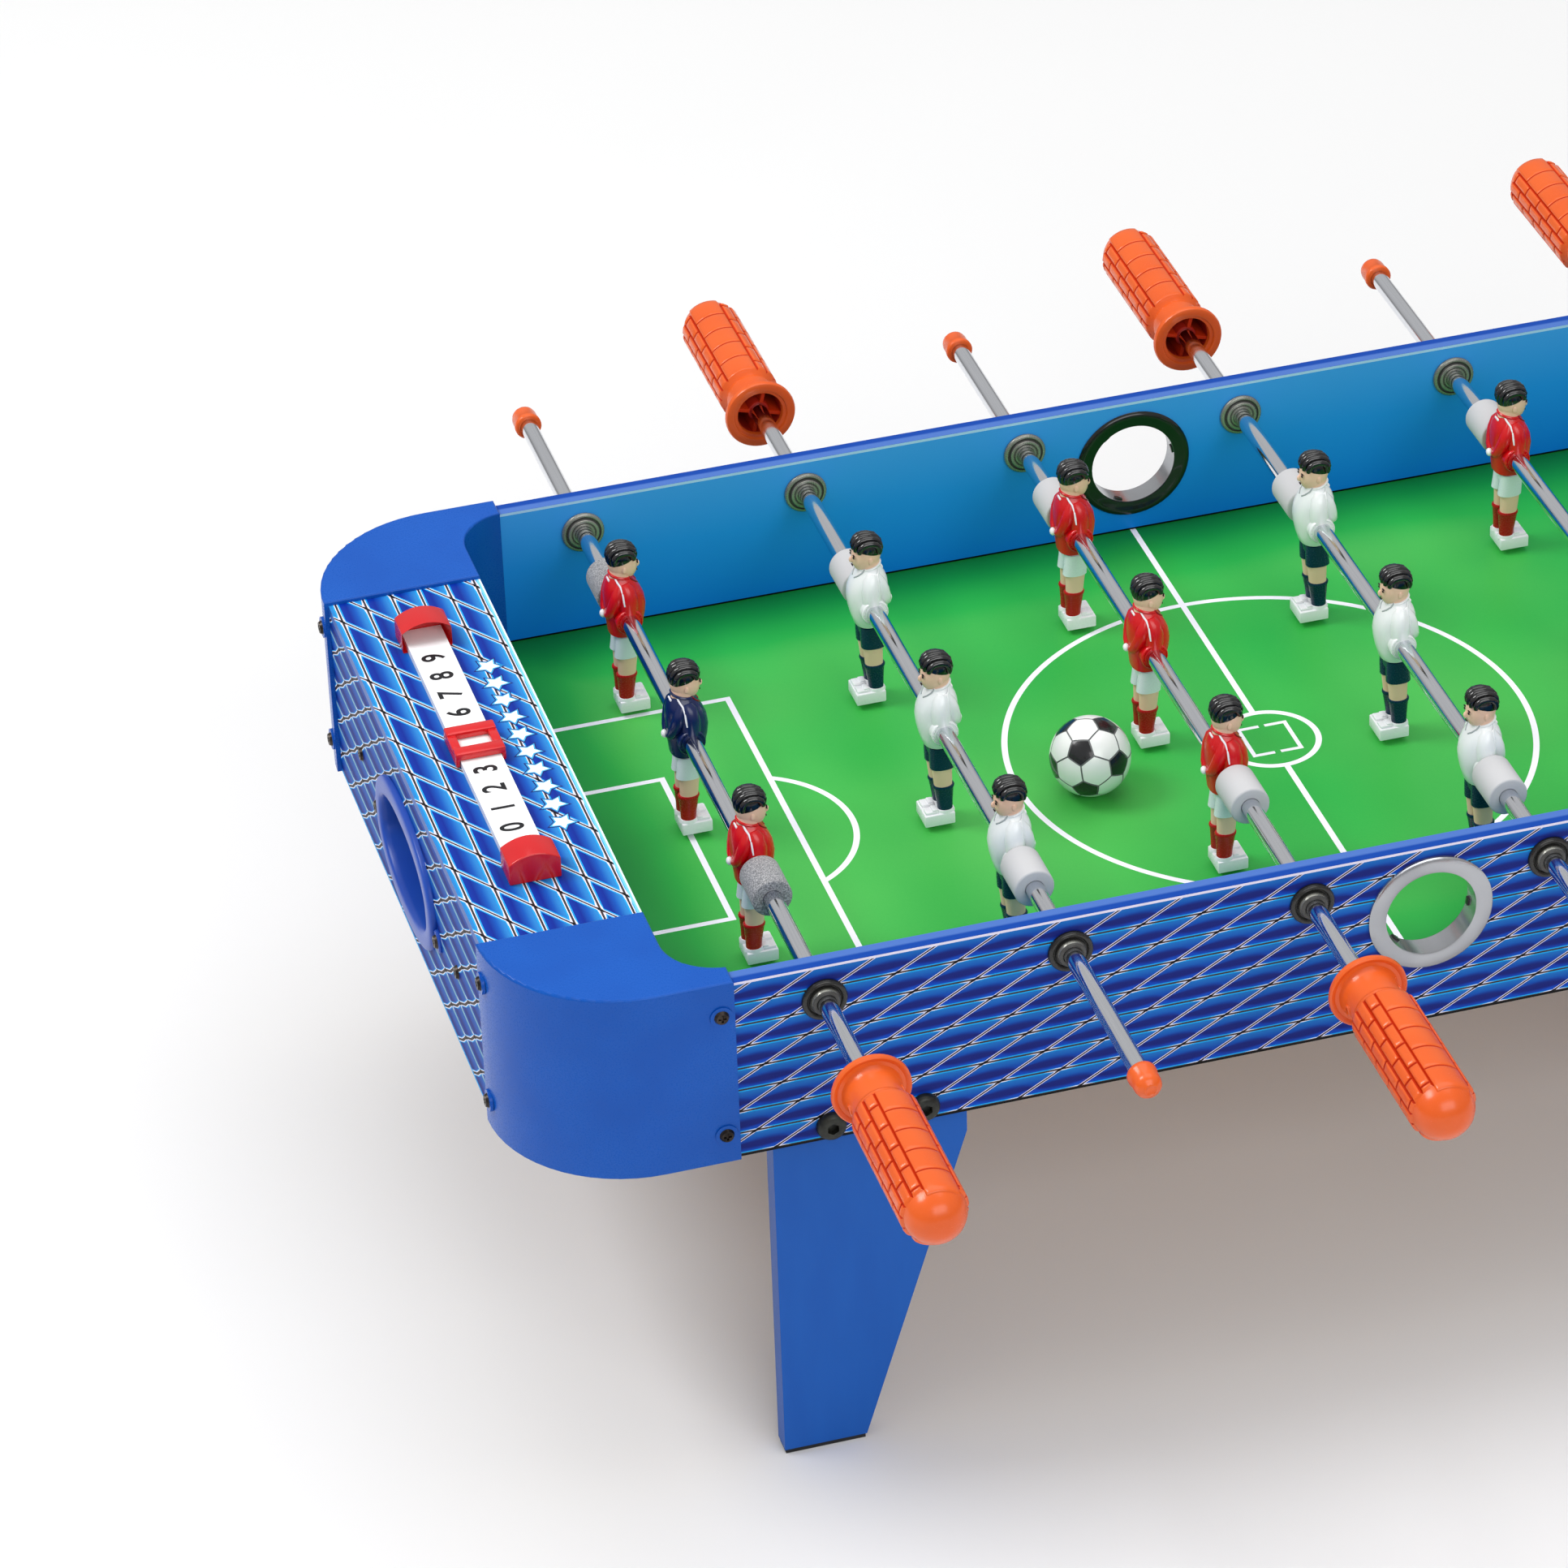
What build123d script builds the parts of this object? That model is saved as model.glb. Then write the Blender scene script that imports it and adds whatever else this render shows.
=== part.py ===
"""Tabletop foosball: a table on four flat legs with six rods of three men, in millimetres.

Origin: middle of the table's footprint, on the surface that it stands on. +X runs along the
playing field, +Y from the player's near side wall to the far one, +Z up.
"""
from build123d import *
import math
import os

os.makedirs("parts", exist_ok=True)

# ---- Driving dimensions -------------------------------------------------------------------
inner_width = 329.0          # between the side walls
wall_top = 224.0             # top edge of the walls above the floor
wall_t = 7.0
field_depth = 60.0           # playing surface below the wall tops
field_t = 5.0
wall_skirt = 11.5            # walls run on this far below the playing field's board
rod_pitch = 92.0
rod_to_goal = 52.2           # from the outermost rod to the goal wall's playing face
end_box_width = 60.3         # from the goal wall's playing face to the end panel's outer face
goal_wall_t = 6.0
cover_t = 4.0

guard_t = 1.8                # moulded corner guards
guard_side_run = 79.1        # along the side wall, from the end panel's outer face
guard_end_run = 51.0         # along the end panel, from the side wall's outer face
guard_inner_radius = 21.0
guard_inset = 1.4            # the skirt stands this far inside the side wall's inner face
guard_edge_radius = 0.9
guard_boss_d = 8.4
guard_boss_h = 0.6

rod_drop = 14.4              # rod axis below the wall tops
tube_d = 7.0
tube_bore_d = 5.0
slide_clearance = 0.05       # radial, tube in its bushes and bumpers
bush_sleeve_d = 10.4
bush_flange_d = 17.4
bush_flange_t = 1.7
bush_step_d = 12.6
bush_step_t = 0.8
bush_nose = 3.6              # bush beyond the wall's outer face
lock_ring_d = 17.0
lock_ring_t = 1.8

men_pitch = 90.0
men_shift = 12.5             # how far the rods stand off centre at rest
boss_d = 13.0
boss_half = 10.0
torso_size = (12.0, 18.0)    # through the chest, across the shoulders
torso_rise = 16.5
torso_drop = 5.0
legs_size = (8.5, 13.0)
neck_d = 9.0
head_top = 31.0              # above the rod axis
head_d = 14.4
head_lead = 1.0
foot_clearance = 2.0         # men's feet above the playing field
foot_size = (12.0, 12.5, 5.0)
foot_lead = 1.5              # the foot block stands forward of the legs
bumper_d = 15.4
bumper_length = 18.0
bumper_gap = 0.3
end_play = 0.5               # bumper to bush at the end of the slide

handle_length = 86.0
finger_room = 25.3           # wall's outer face to the flange, with the handle pushed in
handle_flange_d = 29.5
handle_flange_t = 3.0
handle_neck_d = 20.5
handle_neck_end = 15.0
handle_body_d = 24.0
handle_dome = 10.0           # length of the rounded end
handle_wall = 2.2
handle_cavity = 34.0
handle_hub_d = 12.0
tube_in_handle = 74.0
cap_room = 22.8              # wall's outer face to the cap, with the handle pulled out
cap_d = 11.0
cap_length = 11.0
cap_end_t = 2.0

leg_t = 9.0
leg_past_rod = 19.3          # leg's straight edge beyond the outermost rod
leg_top_width = 73.5
leg_bottom_width = 32.0
leg_shoulder = 14.0          # straight part of the slanted edge, below the wall
leg_bolt_pitch = 35.2
leg_bolt_inset = 20.1        # from the leg's straight edge to the first bolt
leg_bolt_drop = 5.3          # below the playing field's board
bolt_d = 6.0
bolt_head_d = 11.5
bolt_head_t = 3.4
bolt_socket_af = 4.0
nut_af = 10.0
nut_t = 5.0
bolt_tail = 1.5
pad_t = 2.0
pad_margin = 0.5

goal_width = 90.0
goal_headroom = 10.5         # goal mouth above the ball
goal_corner = 12.0

ring_width = 88.0            # ball return on the end panel, over its rim
ring_foot_drop = 7.0         # foot of its rim below the playing field
ring_headroom = 2.5          # opening over the ball
ring_corner = 18.0
ring_rim = 8.5
ring_proud = 2.6
ring_screw_pitch = 94.6
ring_screw_rise = 20.5       # above the ring's foot
ring_ear = 4.5               # radius of its two screw ears
ring_ear_t = 1.2
chute_wall = 1.8
chute_drop = 2.0             # floor falls from the field towards the opening
chute_gap = 0.5              # field's end to the chute
chute_side = 22.0

entry_gap_share = 0.375      # share of the height left by its flange that is above it
entry_clearance = 3.5        # bore over the ball's diameter
entry_sleeve_t = 2.0
entry_lip = 4.5              # flange beyond the sleeve
entry_flange_t = 1.6

ball_d = 31.5
ball_behind_rod = 31.0       # ball's middle from the third rod
ball_clearance = 1.8         # sideways, to the foot of that rod's middle man

screw_d = 2.6
screw_head_d = 5.6
screw_head_t = 1.1
screw_length = 7.0
guard_screw_inset = 5.1      # guard's free edges to its screws
guard_screw_drop = 12.3      # wall's upper and lower edges to the guard screws
panel_screw_y = 76.4
panel_screw_drop = 41.0      # below the wall tops

score_inset = 31.2           # middle of the scorer from the goal wall's playing face
score_offset = 1.6           # middle of the scorer off the table's centre line
score_rail_width = 15.6
score_rail_t = 3.0
score_length = 178.0
bracket_width = 19.5
bracket_depth = 13.2
bracket_side_h = 8.5
bracket_top_h = 12.3
bracket_wall = 1.6
rail_gap = 0.5               # rail's end to the bracket's end wall
score_clearance = 0.3
slider_width = 19.2
slider_length = 20.0
slider_height = 6.2
slider_window = (12.0, 8.6)
slider_place = 1.6           # slider's middle from the scorer's middle

# ---- Levels and faces ---------------------------------------------------------------------
rod_x = [(k - 2.5) * rod_pitch for k in range(6)]
ends = (-1, 1)
half_length = rod_x[-1] + rod_to_goal + end_box_width
half_inner = inner_width / 2
half_outer = half_inner + wall_t
wall_height = field_depth + field_t + wall_skirt
wall_bottom = wall_top - wall_height
field_top = wall_top - field_depth
field_bottom = field_top - field_t
rod_z = wall_top - rod_drop
goal_face = rod_x[-1] + rod_to_goal
goal_back = goal_face + goal_wall_t
cover_bottom = wall_top - cover_t
field_end = goal_back + guard_t
guard_cut = half_length - guard_side_run
guard_end_reach = half_outer - guard_end_run        # half the length between two guards
corner_radius = guard_end_run                       # outer faces, under the guard
board_reach = 14.0                                  # boards run on this far under the guards
wall_run = half_length - corner_radius + board_reach
panel_run = half_outer - corner_radius + board_reach
field_depth_under = field_top - wall_bottom
guard_side_screw_x = guard_cut + guard_screw_inset
guard_end_screw_y = guard_end_reach + guard_screw_inset
guard_screw_z = (wall_top - guard_screw_drop, wall_bottom + guard_screw_drop)
panel_screw_z = wall_top - panel_screw_drop
goal_height = ball_d + goal_headroom
ring_base = field_top - ring_foot_drop
ring_height = ball_d + ring_headroom + 2 * ring_rim
ring_screw_z = ring_base + ring_screw_rise
entry_bore_d = ball_d + entry_clearance
entry_sleeve_d = entry_bore_d + 2 * entry_sleeve_t
entry_flange_d = entry_sleeve_d + 2 * entry_lip
entry_z = wall_top - (field_depth - entry_flange_d) * entry_gap_share - entry_flange_d / 2
leg_outer_x = rod_x[-1] + leg_past_rod
leg_bolt_x = [leg_outer_x - leg_bolt_inset - n * leg_bolt_pitch for n in (0, 1)]
leg_bolt_z = field_bottom - leg_bolt_drop
score_x = goal_face + score_inset
bumper_from = men_pitch + boss_half + bumper_gap    # bumper's inner face from the rod's middle
slide_half = half_inner - bush_flange_t - bush_step_t - end_play - bumper_from - bumper_length
handle_gap = slide_half + finger_room               # with the men centred
cap_gap = slide_half + cap_room
foot_drop = field_depth - rod_drop - foot_clearance
print("slide each way from the middle, mm:", round(slide_half, 2))

# Solids that start at their plane, and solids that end there
from_base = (Align.CENTER, Align.CENTER, Align.MIN)
to_base = (Align.CENTER, Align.CENTER, Align.MAX)

# ---- Boards -------------------------------------------------------------------------------
for side, name in ((-1, "front"), (1, "back")):
    with BuildPart() as side_wall:
        with BuildSketch(Plane.XY.offset(wall_bottom)):
            with Locations((0, side * (half_inner + wall_t / 2))):
                Rectangle(2 * wall_run, wall_t)
            RectangleRounded(2 * half_length, 2 * half_outer, corner_radius, mode=Mode.INTERSECT)
        extrude(amount=wall_height)
        with Locations([(x, side * half_outer, rod_z) for x in rod_x]):
            Cylinder(bush_sleeve_d / 2, 3 * wall_t, rotation=(90, 0, 0), mode=Mode.SUBTRACT)
        with Locations((0, side * half_outer, entry_z)):
            Cylinder(entry_sleeve_d / 2, 3 * wall_t, rotation=(90, 0, 0), mode=Mode.SUBTRACT)
        with Locations([(end * x, side * half_outer, leg_bolt_z) for end in ends for x in leg_bolt_x]):
            Cylinder(bolt_d / 2, 3 * wall_t, rotation=(90, 0, 0), mode=Mode.SUBTRACT)
        with Locations(
            [(end * guard_side_screw_x, side * half_outer, z) for end in ends for z in guard_screw_z]
        ):
            Cylinder(screw_d / 2, 2 * screw_length, rotation=(90, 0, 0), mode=Mode.SUBTRACT)
    side_wall.part.label = "side_wall_" + name
    export_step(side_wall.part, "parts/side_wall_" + name + ".step")

with BuildPart() as playfield:
    with BuildSketch(Plane.XY.offset(field_bottom)):
        Rectangle(2 * field_end, inner_width)
        RectangleRounded(2 * half_length, 2 * half_outer, corner_radius, mode=Mode.INTERSECT)
    extrude(amount=field_t)
playfield.part.label = "playfield"
export_step(playfield.part, "parts/playfield.step")


def return_outline(inset):
    """Rounded outline of the ball return, drawn inset from its rim."""
    with BuildSketch() as outline:
        with Locations((0, ring_base + ring_height / 2)):
            RectangleRounded(ring_width - 2 * inset, ring_height - 2 * inset, ring_corner - inset / 2)
    return outline.sketch


for end, name in ((-1, "left"), (1, "right")):
    with BuildPart() as end_panel:
        with BuildSketch(Plane.XY.offset(wall_bottom)):
            with Locations((end * (half_length - wall_t / 2), 0)):
                Rectangle(wall_t, 2 * panel_run)
            RectangleRounded(2 * half_length, 2 * half_outer, corner_radius, mode=Mode.INTERSECT)
        extrude(amount=wall_height - cover_t)
        with BuildSketch(Plane.YZ.offset(end * half_length)):
            add(return_outline(ring_rim - chute_wall))
        extrude(amount=2 * wall_t, both=True, mode=Mode.SUBTRACT)
        with Locations(
            [(end * half_length, y * guard_end_screw_y, z) for y in ends for z in guard_screw_z]
            + [(end * half_length, y * panel_screw_y, panel_screw_z) for y in ends]
            + [(end * half_length, y * ring_screw_pitch / 2, ring_screw_z) for y in ends]
        ):
            Cylinder(screw_d / 2, 2 * screw_length, rotation=(0, 90, 0), mode=Mode.SUBTRACT)
    end_panel.part.label = "end_panel_" + name
    export_step(end_panel.part, "parts/end_panel_" + name + ".step")

for end, name in ((-1, "left"), (1, "right")):
    with BuildPart() as goal_wall:
        with BuildSketch(Plane.YZ.offset(end * goal_face)):
            with Locations((0, (field_top + cover_bottom) / 2)):
                Rectangle(2 * guard_end_reach, cover_bottom - field_top)
        extrude(amount=end * goal_wall_t)
        with BuildSketch(Plane.YZ.offset(end * goal_face)) as goal_mouth:
            with Locations((0, field_top + goal_height / 2)):
                Rectangle(goal_width, goal_height)
            fillet(goal_mouth.vertices().group_by(Axis.Y)[-1], goal_corner)
        extrude(amount=end * goal_wall_t, mode=Mode.SUBTRACT)
    goal_wall.part.label = "goal_wall_" + name
    export_step(goal_wall.part, "parts/goal_wall_" + name + ".step")

    with BuildPart() as end_cover:
        with BuildSketch(Plane.XY.offset(cover_bottom)):
            with Locations((end * (goal_face + half_length) / 2, 0)):
                Rectangle(end_box_width, 2 * guard_end_reach)
        extrude(amount=cover_t)
    end_cover.part.label = "end_cover_" + name
    export_step(end_cover.part, "parts/end_cover_" + name + ".step")

# ---- Corner guards ------------------------------------------------------------------------
guard_outer_y = half_outer + guard_t
guard_outer_x = half_length + guard_t
guard_skirt_y = half_inner - guard_inset


def guard_plan():
    """Edges of one guard seen from above: big outer corner, hollow inner corner, square cut ends."""
    centre = Vector(half_length - corner_radius, half_outer - corner_radius)
    outer_mid = centre + Vector(1, 1).normalized() * (corner_radius + guard_t)
    hollow = Vector(goal_face - guard_inner_radius, guard_skirt_y - guard_inner_radius)
    reach = math.acos((guard_cut - hollow.X) / guard_inner_radius)
    hollow_mid = hollow + Vector(math.cos(reach / 2), math.sin(reach / 2)) * guard_inner_radius
    hollow_end = hollow + Vector(math.cos(reach), math.sin(reach)) * guard_inner_radius
    with BuildLine() as outline:
        Polyline(hollow_end, (guard_cut, guard_outer_y), (centre.X, guard_outer_y))
        ThreePointArc((centre.X, guard_outer_y), outer_mid, (guard_outer_x, centre.Y))
        Polyline((guard_outer_x, centre.Y), (goal_face, centre.Y), (goal_face, hollow.Y))
        ThreePointArc((goal_face, hollow.Y), hollow_mid, hollow_end)
    return outline.edges()


with BuildPart() as corner_guards:
    with BuildSketch(Plane.XY.offset(wall_top)):
        make_face(guard_plan())
    extrude(amount=guard_t)
    fillet(corner_guards.faces().sort_by(Axis.Z)[-1].edges(), guard_edge_radius)
    with BuildSketch(Plane.XY.offset(wall_top)) as skirt:
        make_face(guard_plan())
        offset(skirt.sketch, amount=-guard_t, kind=Kind.INTERSECTION, mode=Mode.SUBTRACT)
    extrude(amount=-wall_height)
    with BuildSketch(Plane.XY.offset(wall_bottom)):
        with Locations((0, half_inner + wall_t / 2)):
            Rectangle(2 * wall_run, wall_t)
        with Locations((half_length - wall_t / 2, 0)):
            Rectangle(wall_t, 2 * panel_run)
        RectangleRounded(2 * half_length, 2 * half_outer, corner_radius, mode=Mode.INTERSECT)
    extrude(amount=wall_height, mode=Mode.SUBTRACT)
    with Locations((0, 0, wall_bottom)):
        Box(2 * field_end, inner_width, field_depth_under, align=from_base, mode=Mode.SUBTRACT)
    with Locations([(guard_side_screw_x, guard_outer_y, z) for z in guard_screw_z]):
        Cylinder(guard_boss_d / 2, 2 * guard_boss_h, rotation=(90, 0, 0))
    with Locations([(guard_outer_x, guard_end_screw_y, z) for z in guard_screw_z]):
        Cylinder(guard_boss_d / 2, 2 * guard_boss_h, rotation=(0, 90, 0))
    with Locations([(guard_side_screw_x, guard_outer_y, z) for z in guard_screw_z]):
        Cylinder(screw_d / 2, 2 * (guard_t + 0.5), rotation=(90, 0, 0), mode=Mode.SUBTRACT)
    with Locations([(guard_outer_x, guard_end_screw_y, z) for z in guard_screw_z]):
        Cylinder(screw_d / 2, 2 * (guard_t + 0.5), rotation=(0, 90, 0), mode=Mode.SUBTRACT)
    mirror(about=Plane.XZ)
    mirror(about=Plane.YZ)
corner_guards.part.label = "corner_guards"
export_step(corner_guards.part, "parts/corner_guards.step")


def draw_screw(depth):
    """A cross-head screw along local +Z, its head seated on the local origin."""
    Cylinder(screw_d / 2, depth, align=to_base)
    Cone(screw_head_d / 2, screw_head_d / 2 - 0.6, screw_head_t, align=from_base)


def cut_cross():
    """The cross recess in a screw's head."""
    for length, width in ((3.0, 0.8), (0.8, 3.0)):
        Box(length, width, 1.2, mode=Mode.SUBTRACT)


def facing(point, direction):
    """Plane at a point, with its normal along a direction that lies level."""
    return Plane(origin=point, x_dir=(0, 0, 1), z_dir=direction)


guard_seats = [
    facing((guard_side_screw_x, guard_outer_y + guard_boss_h, z), (0, 1, 0)) for z in guard_screw_z
] + [facing((guard_outer_x + guard_boss_h, guard_end_screw_y, z), (1, 0, 0)) for z in guard_screw_z]
panel_seats = [facing((half_length, panel_screw_y, panel_screw_z), (1, 0, 0))]
ring_seats = [facing((half_length + ring_ear_t, ring_screw_pitch / 2, ring_screw_z), (1, 0, 0))]
for seats, depth, name in (
    (guard_seats, screw_length, "guard_screws"),
    (panel_seats, wall_t, "panel_screws"),
    (ring_seats, screw_length, "return_screws"),
):
    with BuildPart() as screws:
        with Locations(*seats):
            draw_screw(depth)
        with Locations(*[seat.offset(screw_head_t) for seat in seats]):
            cut_cross()
        mirror(about=Plane.XZ)
        mirror(about=Plane.YZ)
    screws.part.label = name
    export_step(screws.part, "parts/" + name + ".step")

# ---- Legs ---------------------------------------------------------------------------------
with BuildPart() as legs:
    with BuildSketch(Plane.XZ.offset(-half_inner)):
        with BuildLine():
            Polyline(
                (leg_outer_x, pad_t),
                (leg_outer_x, field_bottom),
                (leg_outer_x - leg_top_width, field_bottom),
                (leg_outer_x - leg_top_width, wall_bottom - leg_shoulder),
                (leg_outer_x - leg_bottom_width, pad_t),
                close=True,
            )
        make_face()
    extrude(amount=leg_t)
    with Locations([(x, half_inner, leg_bolt_z) for x in leg_bolt_x]):
        Cylinder(bolt_d / 2, 3 * leg_t, rotation=(90, 0, 0), mode=Mode.SUBTRACT)
    mirror(about=Plane.XZ)
    mirror(about=Plane.YZ)
legs.part.label = "legs"
export_step(legs.part, "parts/legs.step")

with BuildPart() as foot_pads:
    with Locations((leg_outer_x - leg_bottom_width / 2, half_inner - leg_t / 2, 0)):
        Box(leg_bottom_width - 2 * pad_margin, leg_t - 2 * pad_margin, pad_t, align=from_base)
    mirror(about=Plane.XZ)
    mirror(about=Plane.YZ)
foot_pads.part.label = "foot_pads"
export_step(foot_pads.part, "parts/foot_pads.step")

bolt_seats = [facing((x, half_outer, leg_bolt_z), (0, 1, 0)) for x in leg_bolt_x]
bolt_reach = wall_t + leg_t + nut_t + bolt_tail
with BuildPart() as leg_bolts:
    with Locations(*bolt_seats):
        Cylinder(bolt_d / 2, bolt_reach, align=to_base)
        Cone(bolt_head_d / 2, bolt_head_d / 2 - 2.4, bolt_head_t, align=from_base)
    for seat in bolt_seats:
        with BuildSketch(seat.offset(bolt_head_t)):
            RegularPolygon(bolt_socket_af / 2, 6, major_radius=False)
        extrude(amount=-0.7 * bolt_head_t, mode=Mode.SUBTRACT)
    mirror(about=Plane.XZ)
    mirror(about=Plane.YZ)
leg_bolts.part.label = "leg_bolts"
export_step(leg_bolts.part, "parts/leg_bolts.step")

with BuildPart() as leg_nuts:
    for seat in bolt_seats:
        with BuildSketch(seat.offset(-wall_t - leg_t)):
            RegularPolygon(nut_af / 2, 6, major_radius=False, rotation=30)
            Circle(bolt_d / 2, mode=Mode.SUBTRACT)
        extrude(amount=-nut_t)
    mirror(about=Plane.XZ)
    mirror(about=Plane.YZ)
leg_nuts.part.label = "leg_nuts"
export_step(leg_nuts.part, "parts/leg_nuts.step")

# ---- Ball returns -------------------------------------------------------------------------
chute_half = ring_width / 2 - ring_rim + chute_wall
chute_end_z = field_top - chute_drop
chute_start = field_end + chute_gap
panel_inside = half_length - wall_t


def chute_side_view(height, floor):
    """Side view of the chute, from a floor that falls outwards up to a given height."""
    with BuildSketch() as outline:
        with BuildLine():
            Polyline(
                (panel_inside, chute_end_z - floor),
                (panel_inside, chute_end_z + height),
                (chute_start, field_top + height),
                (chute_start, field_top - floor),
                close=True,
            )
        make_face()
    return outline.sketch


with BuildPart() as ball_returns:
    with BuildSketch(Plane.YZ.offset(half_length)):
        add(return_outline(0))
    extrude(amount=ring_proud)
    with BuildSketch(Plane.YZ.offset(half_length)):
        with Locations((0, ring_screw_z)):
            SlotOverall(ring_screw_pitch + 2 * ring_ear, 2 * ring_ear)
    extrude(amount=ring_ear_t)
    with BuildSketch(Plane.YZ.offset(panel_inside)):
        add(return_outline(ring_rim - chute_wall))
    extrude(amount=wall_t)
    with BuildSketch(Plane.YZ.offset(panel_inside)):
        add(return_outline(ring_rim))
    extrude(amount=wall_t + ring_proud, mode=Mode.SUBTRACT)
    with BuildSketch(Plane.XZ.offset(-chute_half)):
        add(chute_side_view(chute_side, chute_wall))
    extrude(amount=2 * chute_half)
    with BuildSketch(Plane.XZ.offset(-chute_half + chute_wall)):
        add(chute_side_view(2 * chute_side, 0))
    extrude(amount=2 * (chute_half - chute_wall), mode=Mode.SUBTRACT)
    with Locations([(half_length, y * ring_screw_pitch / 2, ring_screw_z) for y in ends]):
        Cylinder(screw_d / 2, 3 * ring_proud, rotation=(0, 90, 0), mode=Mode.SUBTRACT)
    mirror(about=Plane.YZ)
ball_returns.part.label = "ball_returns"
export_step(ball_returns.part, "parts/ball_returns.step")

# ---- Ball entry holes ---------------------------------------------------------------------
level = (90, 0, 0)
with BuildPart() as entry_flanges:
    with Locations((0, half_inner - entry_flange_t / 2, entry_z)):
        Cylinder(entry_flange_d / 2, entry_flange_t, rotation=level)
        Cylinder(entry_sleeve_d / 2, 2 * entry_flange_t, rotation=level, mode=Mode.SUBTRACT)
    mirror(about=Plane.XZ)
entry_flanges.part.label = "entry_flanges"
export_step(entry_flanges.part, "parts/entry_flanges.step")

with BuildPart() as entry_sleeves:
    with Locations((0, (half_inner + half_outer) / 2, entry_z)):
        Cylinder(entry_sleeve_d / 2, wall_t + 2 * entry_flange_t, rotation=level)
    with Locations((0, half_outer + entry_flange_t / 2, entry_z)):
        Cylinder(entry_flange_d / 2, entry_flange_t, rotation=level)
    with Locations((0, half_inner, entry_z)):
        Cylinder(entry_bore_d / 2, 6 * wall_t, rotation=level, mode=Mode.SUBTRACT)
    mirror(about=Plane.XZ)
entry_sleeves.part.label = "entry_sleeves"
export_step(entry_sleeves.part, "parts/entry_sleeves.step")

# ---- Rod bushes ---------------------------------------------------------------------------
with BuildPart() as rod_bushes:
    with Locations([(x, half_inner - bush_flange_t, rod_z) for x in rod_x]):
        Cylinder(bush_flange_d / 2, bush_flange_t, rotation=level, align=to_base)
        Cylinder(bush_step_d / 2, bush_step_t, rotation=level, align=from_base)
        Cylinder(bush_sleeve_d / 2, bush_flange_t + wall_t + bush_nose, rotation=level, align=to_base)
    with Locations([(x, half_inner, rod_z) for x in rod_x]):
        Cylinder(tube_d / 2 + slide_clearance, 6 * wall_t, rotation=level, mode=Mode.SUBTRACT)
    mirror(about=Plane.XZ)
rod_bushes.part.label = "rod_bushes"
export_step(rod_bushes.part, "parts/rod_bushes.step")

with BuildPart() as lock_rings:
    with Locations([(x, half_outer + lock_ring_t / 2, rod_z) for x in rod_x]):
        Cylinder(lock_ring_d / 2, lock_ring_t, rotation=level)
        Cylinder(bush_sleeve_d / 2, 2 * lock_ring_t, rotation=level, mode=Mode.SUBTRACT)
    mirror(about=Plane.XZ)
lock_rings.part.label = "lock_rings"
export_step(lock_rings.part, "parts/lock_rings.step")

# ---- Scorers ------------------------------------------------------------------------------
rail_half = score_length / 2 - bracket_wall - rail_gap


def bracket_outline(inset):
    """Outline of a scorer bracket: straight sides and a low arched top; the inset one has no foot."""
    half = bracket_width / 2 - inset
    side_top = bracket_side_h - inset
    with BuildSketch() as outline:
        with BuildLine():
            Polyline((-half, side_top), (-half, -inset), (half, -inset), (half, side_top))
            ThreePointArc((half, side_top), (0, bracket_top_h - inset), (-half, side_top))
        make_face()
    return outline.sketch


scorer_frames = [
    (end, Plane(origin=(end * score_x, -end * score_offset, wall_top), x_dir=(-end, 0, 0), z_dir=(0, 0, 1)))
    for end in ends
]
with BuildPart() as score_rails:
    with Locations(*[frame for end, frame in scorer_frames]):
        Box(score_rail_width, 2 * rail_half, score_rail_t, align=from_base)
score_rails.part.label = "score_rails"
export_step(score_rails.part, "parts/score_rails.step")

with BuildPart() as score_brackets:
    for end, frame in scorer_frames:
        for along in ends:
            outer_end = Plane(
                origin=frame.from_local_coords((0, along * score_length / 2, 0)),
                x_dir=(along * end, 0, 0),
                z_dir=(0, -along * end, 0),
            )
            with BuildSketch(outer_end):
                add(bracket_outline(0))
            extrude(amount=-bracket_depth)
            with BuildSketch(outer_end.offset(-bracket_wall)):
                add(bracket_outline(bracket_wall))
            extrude(amount=-bracket_depth, mode=Mode.SUBTRACT)
score_brackets.part.label = "score_brackets"
export_step(score_brackets.part, "parts/score_brackets.step")

for end, name in ((-1, "left"), (1, "right")):
    slider_y = -end * (score_offset + slider_place)
    with BuildPart() as score_slider:
        with Locations((end * score_x, slider_y, wall_top + score_clearance)):
            Box(slider_width, slider_length, slider_height - score_clearance, align=from_base)
        fillet(score_slider.edges().filter_by(Axis.Y).group_by(Axis.Z)[-1], 0.8)
        with Locations((end * score_x, slider_y, wall_top)):
            Box(
                score_rail_width + 2 * score_clearance, 2 * slider_length,
                score_rail_t + score_clearance,
                align=from_base, mode=Mode.SUBTRACT,
            )
            Box(slider_window[0], slider_window[1], 4 * slider_height, mode=Mode.SUBTRACT)
    score_slider.part.label = "score_slider_" + name
    export_step(score_slider.part, "parts/score_slider_" + name + ".step")

# ---- Ball ---------------------------------------------------------------------------------
ball_x = rod_x[2] - ball_behind_rod
ball_y = men_shift - foot_size[1] / 2 - ball_clearance - ball_d / 2
with BuildPart() as ball:
    with Locations((ball_x, ball_y, field_top + ball_d / 2)):
        Sphere(ball_d / 2)
ball.part.label = "ball"
export_step(ball.part, "parts/ball.step")

# ---- Rods ---------------------------------------------------------------------------------
tube_in_cap = cap_length - cap_end_t
dome_radius = (handle_dome**2 + (handle_body_d / 2) ** 2) / (2 * handle_dome)

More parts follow.
